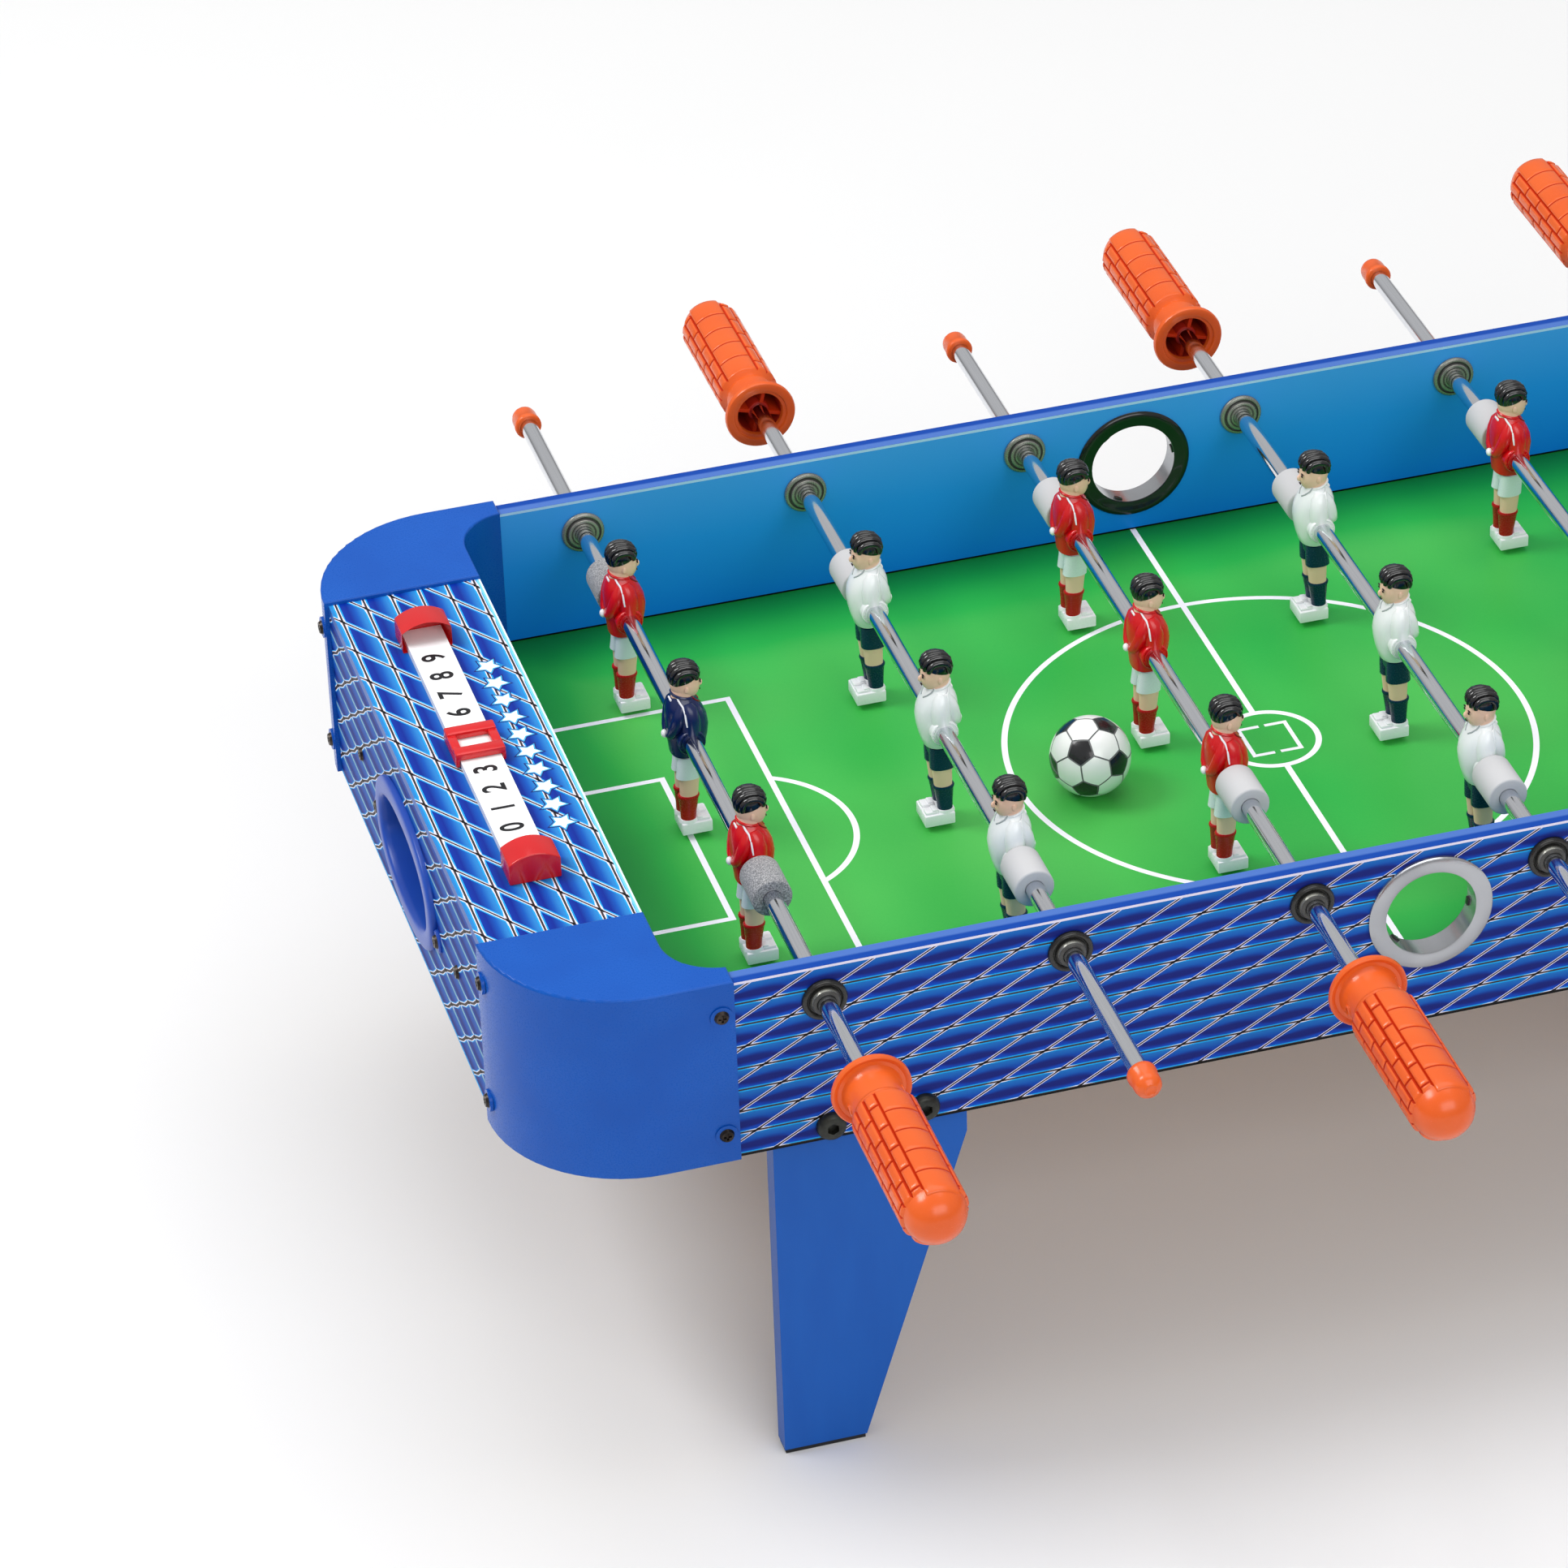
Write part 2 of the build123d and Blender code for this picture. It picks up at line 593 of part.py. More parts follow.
for k, x in enumerate(rod_x):
    name = "rod_" + str(k + 1)
    near = k % 2 == 0                       # handle towards the near side
    out = -1 if near else 1                 # direction of the handle along Y
    ahead = 1 if near else -1               # the way the men face along X
    shift = -out * men_shift
    men_y = [shift + n * men_pitch for n in (-1, 0, 1)]
    rod_axis = Axis((x, 0, rod_z), (0, 1, 0))
    grip = half_outer + handle_gap - men_shift        # flange's inner face, out from the middle
    cap_at = half_outer + cap_gap + men_shift
    tube_out = grip + tube_in_handle
    tube_back = cap_at + tube_in_cap

    with BuildPart() as tube:
        with Locations((x, out * (tube_out - tube_back) / 2, rod_z)):
            Cylinder(tube_d / 2, tube_out + tube_back, rotation=level)
            Cylinder(tube_bore_d / 2, 2 * (tube_out + tube_back), rotation=level, mode=Mode.SUBTRACT)
    tube.part.label = name + "_tube"
    export_step(tube.part, "parts/" + name + "_tube.step")

    with BuildPart() as handle:
        with BuildSketch(Plane(origin=(x, out * grip, rod_z), x_dir=(0, out, 0), z_dir=(1, 0, 0))):
            with BuildLine():
                dome_start = handle_length - handle_dome
                dome_mid = handle_length - dome_radius + dome_radius * math.cos(0.7)
                dome_mid_r = dome_radius * math.sin(0.7)
                Polyline(
                    (handle_length, 0),
                    (0, 0),
                    (0, handle_flange_d / 2),
                    (handle_flange_t, handle_flange_d / 2),
                    (handle_flange_t, handle_neck_d / 2),
                    (handle_neck_end, handle_neck_d / 2),
                    (handle_neck_end + (handle_body_d - handle_neck_d) / 2, handle_body_d / 2),
                    (dome_start, handle_body_d / 2),
                )
                ThreePointArc((dome_start, handle_body_d / 2), (dome_mid, dome_mid_r), (handle_length, 0))
            make_face()
        revolve(axis=rod_axis)
        with Locations((x, out * grip, rod_z)):
            Cylinder(handle_neck_d / 2 - handle_wall, 2 * handle_cavity, rotation=level, mode=Mode.SUBTRACT)
            Cylinder(handle_hub_d / 2, 2 * handle_cavity, rotation=level)
        with Locations((x, out * (grip + handle_cavity / 2 + 1), rod_z)):
            Box(handle_neck_d - handle_wall, handle_cavity, 1.6)
            Box(1.6, handle_cavity, handle_neck_d - handle_wall)
        with Locations((x, out * (grip - handle_cavity), rod_z)):
            Cylinder(handle_neck_d, 2 * handle_cavity, rotation=level, mode=Mode.SUBTRACT)
        with Locations((x, out * grip, rod_z)):
            Cylinder(tube_d / 2, 2 * tube_in_handle, rotation=level, mode=Mode.SUBTRACT)
    handle.part.label = name + "_handle"
    export_step(handle.part, "parts/" + name + "_handle.step")

    with BuildPart() as cap:
        with Locations((x, -out * (cap_at + cap_length / 2), rod_z)):
            Cylinder(cap_d / 2, cap_length, rotation=level)
        fillet(cap.edges().group_by(Axis.Y)[-1 if near else 0], 1.6)
        with Locations((x, -out * cap_at, rod_z)):
            Cylinder(tube_d / 2, 2 * tube_in_cap, rotation=level, mode=Mode.SUBTRACT)
    cap.part.label = name + "_cap"
    export_step(cap.part, "parts/" + name + "_cap.step")

    with BuildPart() as bumpers:
        with Locations([(x, shift + n * (bumper_from + bumper_length / 2), rod_z) for n in ends]):
            Cylinder(bumper_d / 2, bumper_length, rotation=level)
            Cylinder(tube_d / 2 + slide_clearance, 2 * bumper_length, rotation=level, mode=Mode.SUBTRACT)
    bumpers.part.label = name + "_bumpers"
    export_step(bumpers.part, "parts/" + name + "_bumpers.step")

    with BuildPart() as players:
        with Locations([(x, y, rod_z) for y in men_y]):
            Cylinder(boss_d / 2, 2 * boss_half, rotation=level)
        with BuildSketch(Plane.XY.offset(rod_z - torso_drop)):
            with Locations([(x, y) for y in men_y]):
                RectangleRounded(torso_size[0], torso_size[1], 0.48 * torso_size[0])
        extrude(amount=torso_drop + torso_rise)
        with Locations([(x + ahead * head_lead, y, rod_z + head_top - head_d / 2) for y in men_y]):
            Sphere(head_d / 2)
        with Locations([(x + ahead * head_lead / 2, y, rod_z + torso_rise) for y in men_y]):
            Cylinder(neck_d / 2, head_d / 2)
        with BuildSketch(Plane.XY.offset(rod_z - foot_drop)):
            with Locations([(x, y) for y in men_y]):
                RectangleRounded(legs_size[0], legs_size[1], 0.4 * legs_size[0])
        extrude(amount=foot_drop)
        with Locations([(x + ahead * foot_lead, y, rod_z - foot_drop) for y in men_y]):
            Box(*foot_size, align=from_base)
        with Locations([(x, y, rod_z) for y in men_y]):
            Cylinder(tube_d / 2, 3 * boss_half, rotation=level, mode=Mode.SUBTRACT)
    players.part.label = name + "_players"
    export_step(players.part, "parts/" + name + "_players.step")
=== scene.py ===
import math

import bmesh
import bpy
from mathutils import Matrix, Vector


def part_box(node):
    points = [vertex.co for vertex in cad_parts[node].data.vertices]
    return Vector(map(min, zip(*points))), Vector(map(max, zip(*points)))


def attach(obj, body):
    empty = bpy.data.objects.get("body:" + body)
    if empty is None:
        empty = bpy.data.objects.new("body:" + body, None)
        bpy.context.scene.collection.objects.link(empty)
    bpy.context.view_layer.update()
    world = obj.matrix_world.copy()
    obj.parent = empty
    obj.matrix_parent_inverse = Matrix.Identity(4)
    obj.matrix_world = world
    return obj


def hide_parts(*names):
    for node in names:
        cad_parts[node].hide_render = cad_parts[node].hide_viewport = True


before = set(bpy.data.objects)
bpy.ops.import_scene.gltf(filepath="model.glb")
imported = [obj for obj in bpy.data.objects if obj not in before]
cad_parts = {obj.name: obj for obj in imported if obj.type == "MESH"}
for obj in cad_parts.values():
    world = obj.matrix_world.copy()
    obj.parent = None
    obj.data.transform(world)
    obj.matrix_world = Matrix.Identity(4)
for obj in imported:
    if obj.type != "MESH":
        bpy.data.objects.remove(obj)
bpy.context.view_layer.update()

# Sizes are in millimetres in the table's own frame, and become metres when a piece is finished.
MM = 0.001
scene = bpy.context.scene


def corners(node):
    """Lowest and highest corners of a node, in millimetres."""
    low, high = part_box(node)
    return low / MM, high / MM


# ---- Levels and faces, read from the frame ----
front_low, front_high = corners("side_wall_front")
wall_top, wall_bottom = front_high.z, front_low.z
half_outer, half_inner = -front_low.y, -front_high.y
field_top = corners("playfield")[1].z
half_length = corners("end_panel_right")[1].x
goal_face = corners("end_cover_right")[0].x
rods = ["rod_" + str(number) for number in range(1, 7)]
tube_low, tube_high = corners("rod_1_tube")
tube_r = (tube_high.x - tube_low.x) / 2
rod_z = (tube_low.z + tube_high.z) / 2
rod_x = [(corners(rod + "_tube")[0].x + corners(rod + "_tube")[1].x) / 2 for rod in rods]
handle_side = [-1 if corners(rod + "_handle")[0].y < 0 else 1 for rod in rods]
sides = (-1, 1)
leg_board = 9.0                                    # thickness of the leg boards


# ---- Shader wiring ----
def paint(red, green, blue):
    """A paint colour from screen values of 0 to 255."""
    def light(value):
        part = value / 255
        return part / 12.92 if part <= 0.04045 else ((part + 0.055) / 1.055) ** 2.4
    return (light(red), light(green), light(blue), 1.0)


class Wire:
    """A value in a finish's shader tree. Sums and comparisons of wires add Math nodes."""

    def __init__(self, finish, socket):
        self.finish = finish
        self.socket = socket

    def maths(self, operation, *others):
        node = self.finish.tree.nodes.new("ShaderNodeMath")
        node.operation = operation
        for socket, value in zip(node.inputs, (self, *others)):
            self.finish.feed(socket, value)
        return Wire(self.finish, node.outputs[0])

    def __add__(self, other):
        return self.maths("ADD", other)

    def __sub__(self, other):
        return self.maths("SUBTRACT", other)

    def __mul__(self, other):
        return self.maths("MULTIPLY", other)

    def __truediv__(self, other):
        return self.maths("DIVIDE", other)

    def __abs__(self):
        return self.maths("ABSOLUTE")

    def __gt__(self, other):
        return self.maths("GREATER_THAN", other)

    def __lt__(self, other):
        return self.maths("LESS_THAN", other)

    def __and__(self, other):
        return self.maths("MINIMUM", other)

    def __or__(self, other):
        return self.maths("MAXIMUM", other)

    def fraction(self):
        return self.maths("FRACT")

    def sign(self):
        return self.maths("SIGN")

    def from_whole(self):
        """Signed distance to the nearest whole number."""
        return (self + 0.5).fraction() - 0.5

    def length_with(self, other):
        """Length of the vector with this and the other wire as its two parts."""
        return (self.maths("POWER", 2.0) + other.maths("POWER", 2.0)).maths("SQRT")

    def rise(self, start, end):
        """0 before start, 1 after end, smooth between."""
        node = self.finish.tree.nodes.new("ShaderNodeMapRange")
        node.interpolation_type = "SMOOTHSTEP"
        for socket, value in zip(node.inputs, (self, start, end, 0.0, 1.0)):
            self.finish.feed(socket, value)
        return Wire(self.finish, node.outputs[0])


class Finish:
    """One finish of the table: a material with short calls that add its shader nodes."""

    def __init__(self, name, **sockets):
        self.material = bpy.data.materials.new(name)
        self.material.use_nodes = True
        self.tree = self.material.node_tree
        self.shader = self.tree.nodes["Principled BSDF"]
        for socket, value in sockets.items():
            self.shader.inputs[socket.replace("_", " ")].default_value = value
        self.place = Wire(self, self.tree.nodes.new("ShaderNodeTexCoord").outputs["Object"])
        split = self.tree.nodes.new("ShaderNodeSeparateXYZ")
        self.feed(split.inputs[0], self.place)
        self.x, self.y, self.z = [Wire(self, split.outputs[axis]) * (1 / MM) for axis in "XYZ"]

    def feed(self, socket, value):
        """Links a wire to a socket, or sets a plain value on it."""
        if isinstance(value, Wire):
            self.tree.links.new(value.socket, socket)
        else:
            socket.default_value = value

    def speckle(self, grain, detail=3.0, stretch=(1, 1, 1)):
        """Noise whose grains are so many millimetres across."""
        scaled = self.tree.nodes.new("ShaderNodeMapping")
        scaled.inputs["Scale"].default_value = [1 / (MM * grain * part) for part in stretch]
        self.feed(scaled.inputs["Vector"], self.place)
        noise = self.tree.nodes.new("ShaderNodeTexNoise")
        noise.inputs["Scale"].default_value = 1.0
        noise.inputs["Detail"].default_value = detail
        self.feed(noise.inputs["Vector"], Wire(self, scaled.outputs[0]))
        return Wire(self, noise.outputs["Fac"])

    def over(self, mask, top, below):
        """The top colour where the mask is 1, over the colour below."""
        mix = self.tree.nodes.new("ShaderNodeMix")
        mix.data_type = "RGBA"
        self.feed(mix.inputs[0], mask)
        self.feed(mix.inputs[6], below)
        self.feed(mix.inputs[7], top)
        return Wire(self, mix.outputs[2])

    def bands(self, value, *stops):
        """A colour that runs through (place, colour) stops as a value goes from 0 to 1."""
        ramp = self.tree.nodes.new("ShaderNodeValToRGB")
        self.feed(ramp.inputs[0], value)
        elements = ramp.color_ramp.elements
        while len(elements) < len(stops):
            elements.new(0.5)
        for element, (place, colour) in zip(elements, stops):
            element.position = place
            element.color = colour
        return Wire(self, ramp.outputs[0])

    def set(self, colour=None, roughness=None, height=None, depth=0.02):
        """Feeds the shader its colour, roughness and a height field so many millimetres deep."""
        if colour is not None:
            self.feed(self.shader.inputs["Base Color"], colour)
        if roughness is not None:
            self.feed(self.shader.inputs["Roughness"], roughness)
        if height is not None:
            bump = self.tree.nodes.new("ShaderNodeBump")
            bump.inputs["Distance"].default_value = depth * MM
            self.feed(bump.inputs["Height"], height)
            self.feed(self.shader.inputs["Normal"], Wire(self, bump.outputs[0]))
        return self.material


# ---- Finishes ----
def moulded(name, colour, deep, roughness=0.3, grain=0.5, depth=0.006, **sockets):
    """Moulded plastic: faint flow marks between two shades, and a fine texture from the mould."""
    finish = Finish(name, **{"Specular_IOR_Level": 0.3, **sockets})
    flow = finish.speckle(28, 2.0)
    fine = finish.speckle(grain, 2.0)
    shade = finish.over(flow.rise(0.3, 0.75) * 0.5, paint(*deep), paint(*colour))
    return finish.set(shade, (fine - 0.5) * 0.12 + roughness + flow * 0.05, fine, depth)


black = paint(8, 8, 10)
lilac = paint(226, 222, 240)
cyan = paint(22, 160, 226)
navy = paint(16, 26, 108)
groove_brown = paint(58, 50, 48)


def lattice(finish, across, along, row, pitch, shift, cells, ruled, slanted, lens=0.0, bend=0.0):
    """The printed lattice: rows of shaded cells, ruled lines between them, and slanted lines.

    across runs down the rows and along runs beside them, in millimetres. The slanted lines
    stand a pitch apart along the rows, and move by a shift from each row to the next. Each
    kind of line has the half widths of its dark core, its pale edge and its cyan glow. A lens
    darkens the middle of each cell, and a bend bows the slanted lines within a row."""
    in_row = (across / row).fraction()
    to_rule = abs((across / row).from_whole()) * row
    slant = (along + across * (shift / row) + abs(in_row - 0.5) * bend) / pitch
    in_cell = slant.fraction()
    to_slant = abs(slant.from_whole()) * (pitch * row / math.hypot(row, shift))
    colour = finish.bands(in_row, *cells)
    bulge = (in_cell * (in_cell * -1 + 1)) * 4
    hollow = (abs(in_row - 0.62) / (bulge * 0.25 + 0.01)).rise(1.25, 0.3)
    colour = finish.over(hollow * lens, navy, colour)
    knotted = to_slant.rise(3.2, 0.8) * 0.35 + ruled[1]
    for tone, slanted_width, ruled_width in (
            (cyan, slanted[2], ruled[2]), (lilac, slanted[1], knotted), (groove_brown, slanted[0], ruled[0])):
        colour = finish.over(to_slant < slanted_width, tone, colour)
        colour = finish.over(to_rule < ruled_width, tone, colour)
    return finish.over((to_slant < slanted[0] * 1.5) & (to_rule < 0.9), black, colour)


def side_print():
    """Side walls: lattice outside, plain blue inside darkening towards the field as painted shade, painted
    highlights along the top of both faces, a darker strip along the top.
    """
    finish = Finish("side_wall_print", Specular_IOR_Level=0.12)
    depth = finish.z * -1 + wall_top
    along = finish.x * finish.y.sign() * -1
    cells = (
        (0.0, paint(6, 140, 214)), (0.14, paint(24, 106, 186)), (0.42, paint(8, 70, 168)),
        (0.72, paint(4, 52, 164)), (0.9, paint(2, 76, 190)), (1.0, paint(6, 140, 214)),
    )
    row, pitch, shift, start = 9.45, 23.04, 16.64, 232.66
    outside = lattice(finish, depth, along + start, row, pitch, shift, cells,
                      (0.36, 0.36, 0.85), (0.3, 0.58, 0.58), 0.9)
    # A lilac strip along the top of the outer face is a painted highlight on the wall's upper edge.
    outside = finish.over(depth < 1.1, lilac, outside)
    outside = finish.over(finish.z < wall_bottom + 0.9, black, outside)
    # The inner face is painted darker towards the field and lighter towards the top: painted shade on a plain
    # board.
    level = (finish.z - field_top) / (wall_top - field_top)
    inside = finish.bands(
        level, (0.0, paint(10, 128, 226)), (0.55, paint(34, 146, 236)), (1.0, paint(66, 160, 240)))
    inside = finish.over(finish.z < field_top + 0.8, black, inside)
    # A pale strip along the top of the inner face is a painted highlight on the wall's upper edge.
    inside = finish.over(depth < 1.2, paint(176, 218, 252), inside)
    out = abs(finish.y)
    edge = finish.over(out.rise(half_inner + 3.0, half_inner + 4.4), paint(8, 66, 160), paint(74, 112, 186))
    colour = finish.over(out > half_outer - 0.05, outside, inside)
    colour = finish.over(finish.z > wall_top - 0.05, edge, colour)
    fine = finish.speckle(0.7, 2.0)
    return finish.set(colour, fine * 0.1 + 0.33, fine, 0.006)


def end_top_print():
    """Covers of the end boxes: lattice with its rows across the table, fluted like cushions, and a pale band
    along the edge over the goal that is a painted highlight.
    """
    finish = Finish("end_cover_print", Specular_IOR_Level=0.15)
    across = abs(finish.x) - (goal_face + 2.7)
    along = finish.y * finish.x.sign()
    cells = (
        (0.0, paint(40, 140, 210)), (0.2, paint(42, 128, 200)), (0.42, paint(12, 82, 176)),
        (0.66, paint(2, 38, 142)), (0.86, paint(2, 50, 156)), (1.0, paint(4, 80, 180)),
    )
    row, pitch, shift, start = 11.0, 22.2, 16.05, -84.0
    colour = lattice(finish, across, along + start, row, pitch, shift, cells,
                     (0.4, 0.75, 1.35), (0.36, 0.72, 1.3))
    # The pale band and the near-white line on the edge over the goal are a painted highlight.
    lip_highlight = abs(finish.x) < goal_face + 1.6
    colour = finish.over(lip_highlight, paint(120, 205, 240), colour)
    colour = finish.over(abs(finish.x) < goal_face + 0.7, paint(225, 240, 250), colour)
    colour = finish.over(finish.z < wall_top - 0.3, paint(24, 84, 168), colour)
    fine = finish.speckle(0.7, 2.0)
    return finish.set(colour, fine * 0.1 + 0.28, fine, 0.006)


def end_face_print():
    """End panels: the lattice pressed into six rows outside, with a painted highlight as a pale line along
    the top of each row, plain blue inside.
    """
    finish = Finish("end_panel_print", Specular_IOR_Level=0.02)
    depth = finish.z * -1 + wall_top
    along = finish.y * finish.x.sign()
    # The pale first stops of each row are a painted highlight along the top of each pressed row.
    cells = (
        (0.0, paint(150, 184, 190)), (0.09, paint(120, 170, 190)), (0.14, paint(20, 96, 180)),
        (0.5, paint(4, 62, 160)), (0.72, paint(2, 28, 112)), (0.9, paint(4, 52, 150)),
        (1.0, paint(30, 110, 180)),
    )
    row, pitch, shift = 10.9, 22.2, 15.4
    outside = lattice(finish, depth, along, row, pitch, shift, cells,
                      (0, 0, 0), (0.5, 0.85, 1.2), bend=3.0)
    outside = finish.over(finish.z < wall_bottom + 1.2, cyan, outside)
    colour = finish.over(abs(finish.x) > half_length - 0.05, outside, paint(24, 84, 168))
    fine = finish.speckle(0.7, 2.0)
    return finish.set(colour, fine * 0.1 + 0.33, fine, 0.006)


def field_print():
    """The playing field: greens darkened towards the walls as painted shade, a soft grain, and white
    markings.
    """
    finish = Finish("playing_field_print", Specular_IOR_Level=0.25)
    x, y = abs(finish.x), abs(finish.y)
    line = 1.2
    border = (x * -1 + goal_face) & (y * -1 + half_inner)
    cloud = finish.speckle(120, 2.0)
    grain = finish.speckle(0.6, 2.0)
    # The darkening towards the walls stands for the shade the walls cast on the field; it is painted shade.
    tone = border.rise(-6, 52) * 0.62 + cloud * 0.5 + (grain - 0.5) * 0.08
    colour = finish.bands(
        tone, (0.05, paint(2, 92, 44)), (0.42, paint(16, 140, 56)), (0.75, paint(40, 168, 66)),
        (1.0, paint(84, 188, 84)),
    )
    penalty_x, penalty_y, area_x, area_y = 191.3, 96.4, 230.9, 49.6
    arc_x, arc_r, centre_r, spot_r, square = 211.3, 42.1, 102.85, 19.0, 9.5
    radius = finish.x.length_with(finish.y)
    arc = (x - arc_x).length_with(finish.y)
    penalty = (y - penalty_y) | (x * -1 + penalty_x)
    goal_area = (y - area_y) | (x * -1 + area_x)
    marks = (x < line) | (abs(radius - centre_r) < line) | (abs(radius - spot_r) < line)
    marks = marks | (abs(penalty) < line) | (abs(goal_area) < line)
    marks = marks | (abs((x | y) - square) < line * 0.7)
    marks = marks | ((abs(arc - arc_r) < line) & (x < penalty_x))
    marks = marks & (((x < line) & (radius < spot_r - line)) * -1 + 1)
    colour = finish.over(marks, paint(246, 244, 252), colour)
    colour = finish.over(finish.z < field_top - 0.05, paint(168, 128, 86), colour)
    return finish.set(colour, grain * 0.12 + 0.36, grain, 0.01)


def plain_board(name, colour, deep, edge):
    """Laminated fibreboard: satin foil with a faint wood-like ripple, and its cut edges."""
    finish = Finish(name, Specular_IOR_Level=0.22)
    ripple = finish.speckle(9, 3.0, (1, 1, 6))
    fine = finish.speckle(0.8, 2.0)
    shade = finish.over(ripple.rise(0.3, 0.8) * 0.35, paint(*deep), paint(*colour))
    rim = abs(finish.y) < half_inner - leg_board + 0.05
    shade = finish.over(rim * 0.35, paint(*edge), shade)
    return finish.set(shade, fine * 0.12 + 0.34, fine + ripple * 0.6, 0.008)


def chrome():
    """Polished chrome plate, with hairlines drawn along the tube."""
    finish = Finish("rod_chrome", Metallic=1.0)
    hairline = finish.speckle(0.5, 3.0, (1, 60, 1))
    return finish.set(finish.over(hairline, paint(232, 234, 238), paint(214, 216, 222)),
                      hairline * 0.1 + 0.06, hairline, 0.0015)


def foam():
    """Moulded foam rubber: matt grey with pale and dark grains and tiny open cells."""
    finish = Finish("bumper_foam", Sheen_Weight=0.25, Sheen_Roughness=0.6)
    grains = finish.speckle(0.55, 2.0)
    cells = finish.speckle(0.28, 1.0)
    colour = finish.bands(
        grains, (0.3, paint(88, 90, 94)), (0.5, paint(136, 137, 140)), (0.7, paint(184, 184, 186)))
    return finish.set(colour, cells * 0.1 + 0.8, grains + cells * 0.6, 0.12)


def turned_metal(name, colour, deep, roughness, metallic):
    """Plated metal with fine turning marks and a few darker patches."""
    finish = Finish(name, Metallic=metallic)
    marks = finish.speckle(0.35, 3.0)
    patches = finish.speckle(4.0, 3.0)
    shade = finish.over(patches.rise(0.35, 0.7), paint(*deep), paint(*colour))
    return finish.set(shade, marks * 0.2 + roughness, marks, 0.01)


guard_blue = moulded("guard_blue", (12, 84, 178), (6, 74, 166), 0.26, 0.6, 0.006, Specular_IOR_Level=0.22)
return_blue = moulded("return_blue", (34, 78, 176), (18, 60, 160), 0.3)
chute_blue = moulded("chute_blue", (4, 22, 96), (2, 12, 62), 0.4, Specular_IOR_Level=0.15)
orange = moulded("handle_orange", (226, 96, 34), (216, 80, 20), 0.22, Specular_IOR_Level=0.4)
# A darker orange for the grip's grooves and the fins inside the handle: painted shade in those recesses.
orange_recess_shade = moulded("handle_recess_shade", (196, 50, 12), (170, 36, 8), 0.45, Specular_IOR_Level=0.1)
# A darker orange for the inside of the hollow handle and its collar holes: painted shade in the cavity.
orange_cavity_shade = moulded("handle_cavity_shade", (176, 34, 14), (130, 20, 12), 0.45)
score_red = moulded("scorer_red", (208, 20, 26), (184, 12, 18), 0.18, 0.5, 0.004, Specular_IOR_Level=0.6)
score_white = moulded("scorer_white", (246, 246, 246), (232, 234, 238), 0.3)
print_black = moulded("print_black", (20, 20, 24), (34, 34, 38), 0.4)
print_white = moulded("print_white", (246, 246, 250), (228, 232, 244), 0.35)
print_cyan = moulded("print_cyan", (70, 180, 232), (40, 150, 214), 0.35)
print_navy = moulded("print_navy", (16, 30, 118), (10, 20, 90), 0.35)
ring_black = moulded("ring_black", (34, 34, 32), (20, 20, 20), 0.26, 0.4, Coat_Weight=0.3)
flange_black = moulded("flange_black", (16, 22, 18), (8, 10, 8), 0.2, 0.4, Coat_Weight=0.4)
bush_grey = moulded("bush_grey", (150, 150, 142), (112, 114, 106), 0.24, 0.4, Metallic=0.5)
nose_grey = moulded("nose_grey", (74, 74, 72), (48, 48, 46), 0.26)
sleeve_grey = moulded("sleeve_grey", (180, 182, 186), (140, 142, 148), 0.2, 0.4, Metallic=0.8)
pad_black = moulded("pad_rubber", (40, 40, 42), (26, 26, 28), 0.7, 0.4, 0.03)
ball_white = moulded("ball_white", (240, 240, 238), (222, 224, 222), 0.2, Coat_Weight=0.4)
ball_black = moulded("ball_black", (22, 22, 24), (40, 40, 42), 0.22, Coat_Weight=0.4)
ball_seam = moulded("ball_seam", (130, 132, 132), (96, 98, 98), 0.4)
shirt_red = moulded("shirt_red", (214, 12, 20), (186, 8, 14), 0.22, Specular_IOR_Level=0.5)
# A darker red for the fold along the red shirt's placket: painted shade in the crease.
shirt_fold_shade = moulded("shirt_fold_shade", (132, 6, 12), (110, 4, 10), 0.3)
shirt_white = moulded("shirt_white", (240, 243, 243), (218, 226, 228), 0.22, Coat_Weight=0.4)
shirt_navy = moulded("shirt_navy", (14, 32, 84), (8, 22, 62), 0.22, Specular_IOR_Level=0.5)
shorts_white = moulded("shorts_white", (226, 236, 238), (206, 220, 224), 0.26)
shorts_teal = moulded("shorts_teal", (6, 48, 74), (2, 34, 58), 0.24)
socks_red = moulded("socks_red", (184, 20, 26), (150, 10, 18), 0.24)
skin = moulded("moulded_skin", (244, 204, 178), (234, 186, 156), 0.36)
hair = moulded("moulded_hair", (8, 8, 10), (18, 18, 20), 0.14, 0.5, 0.002, Specular_IOR_Level=0.8)
features = moulded("painted_features", (30, 22, 20), (48, 34, 30), 0.3)
shoe_white = moulded("shoe_white", (244, 244, 246), (226, 230, 230), 0.26)
# A pale grey for the fold along the white shirt's placket: painted shade in the crease.
white_fold_shade = moulded("white_fold_shade", (168, 176, 178), (150, 158, 160), 0.3)
screw_dark = turned_metal("screw_dark", (70, 62, 56), (34, 30, 28), 0.25, 0.9)
bolt_black = turned_metal("bolt_black", (46, 48, 42), (24, 25, 22), 0.3, 0.4)
nut_zinc = turned_metal("nut_zinc", (200, 202, 204), (160, 164, 168), 0.28, 1.0)
leg_blue = plain_board("leg_board", (20, 88, 176), (10, 74, 162), (96, 116, 166))
goal_blue = plain_board("goal_board", (10, 100, 186), (4, 82, 168), (10, 100, 186))


# ---- Modelling helpers ----
def swell(x, y, fullness):
    """Brings the point at x, y onto a rounded square: 2 keeps a circle, more is squarer."""
    return (abs(x) ** fullness + abs(y) ** fullness) ** (-1 / fullness)


def ring_edges(ring):
    return list(dict.fromkeys(e for v in ring for e in v.link_edges))


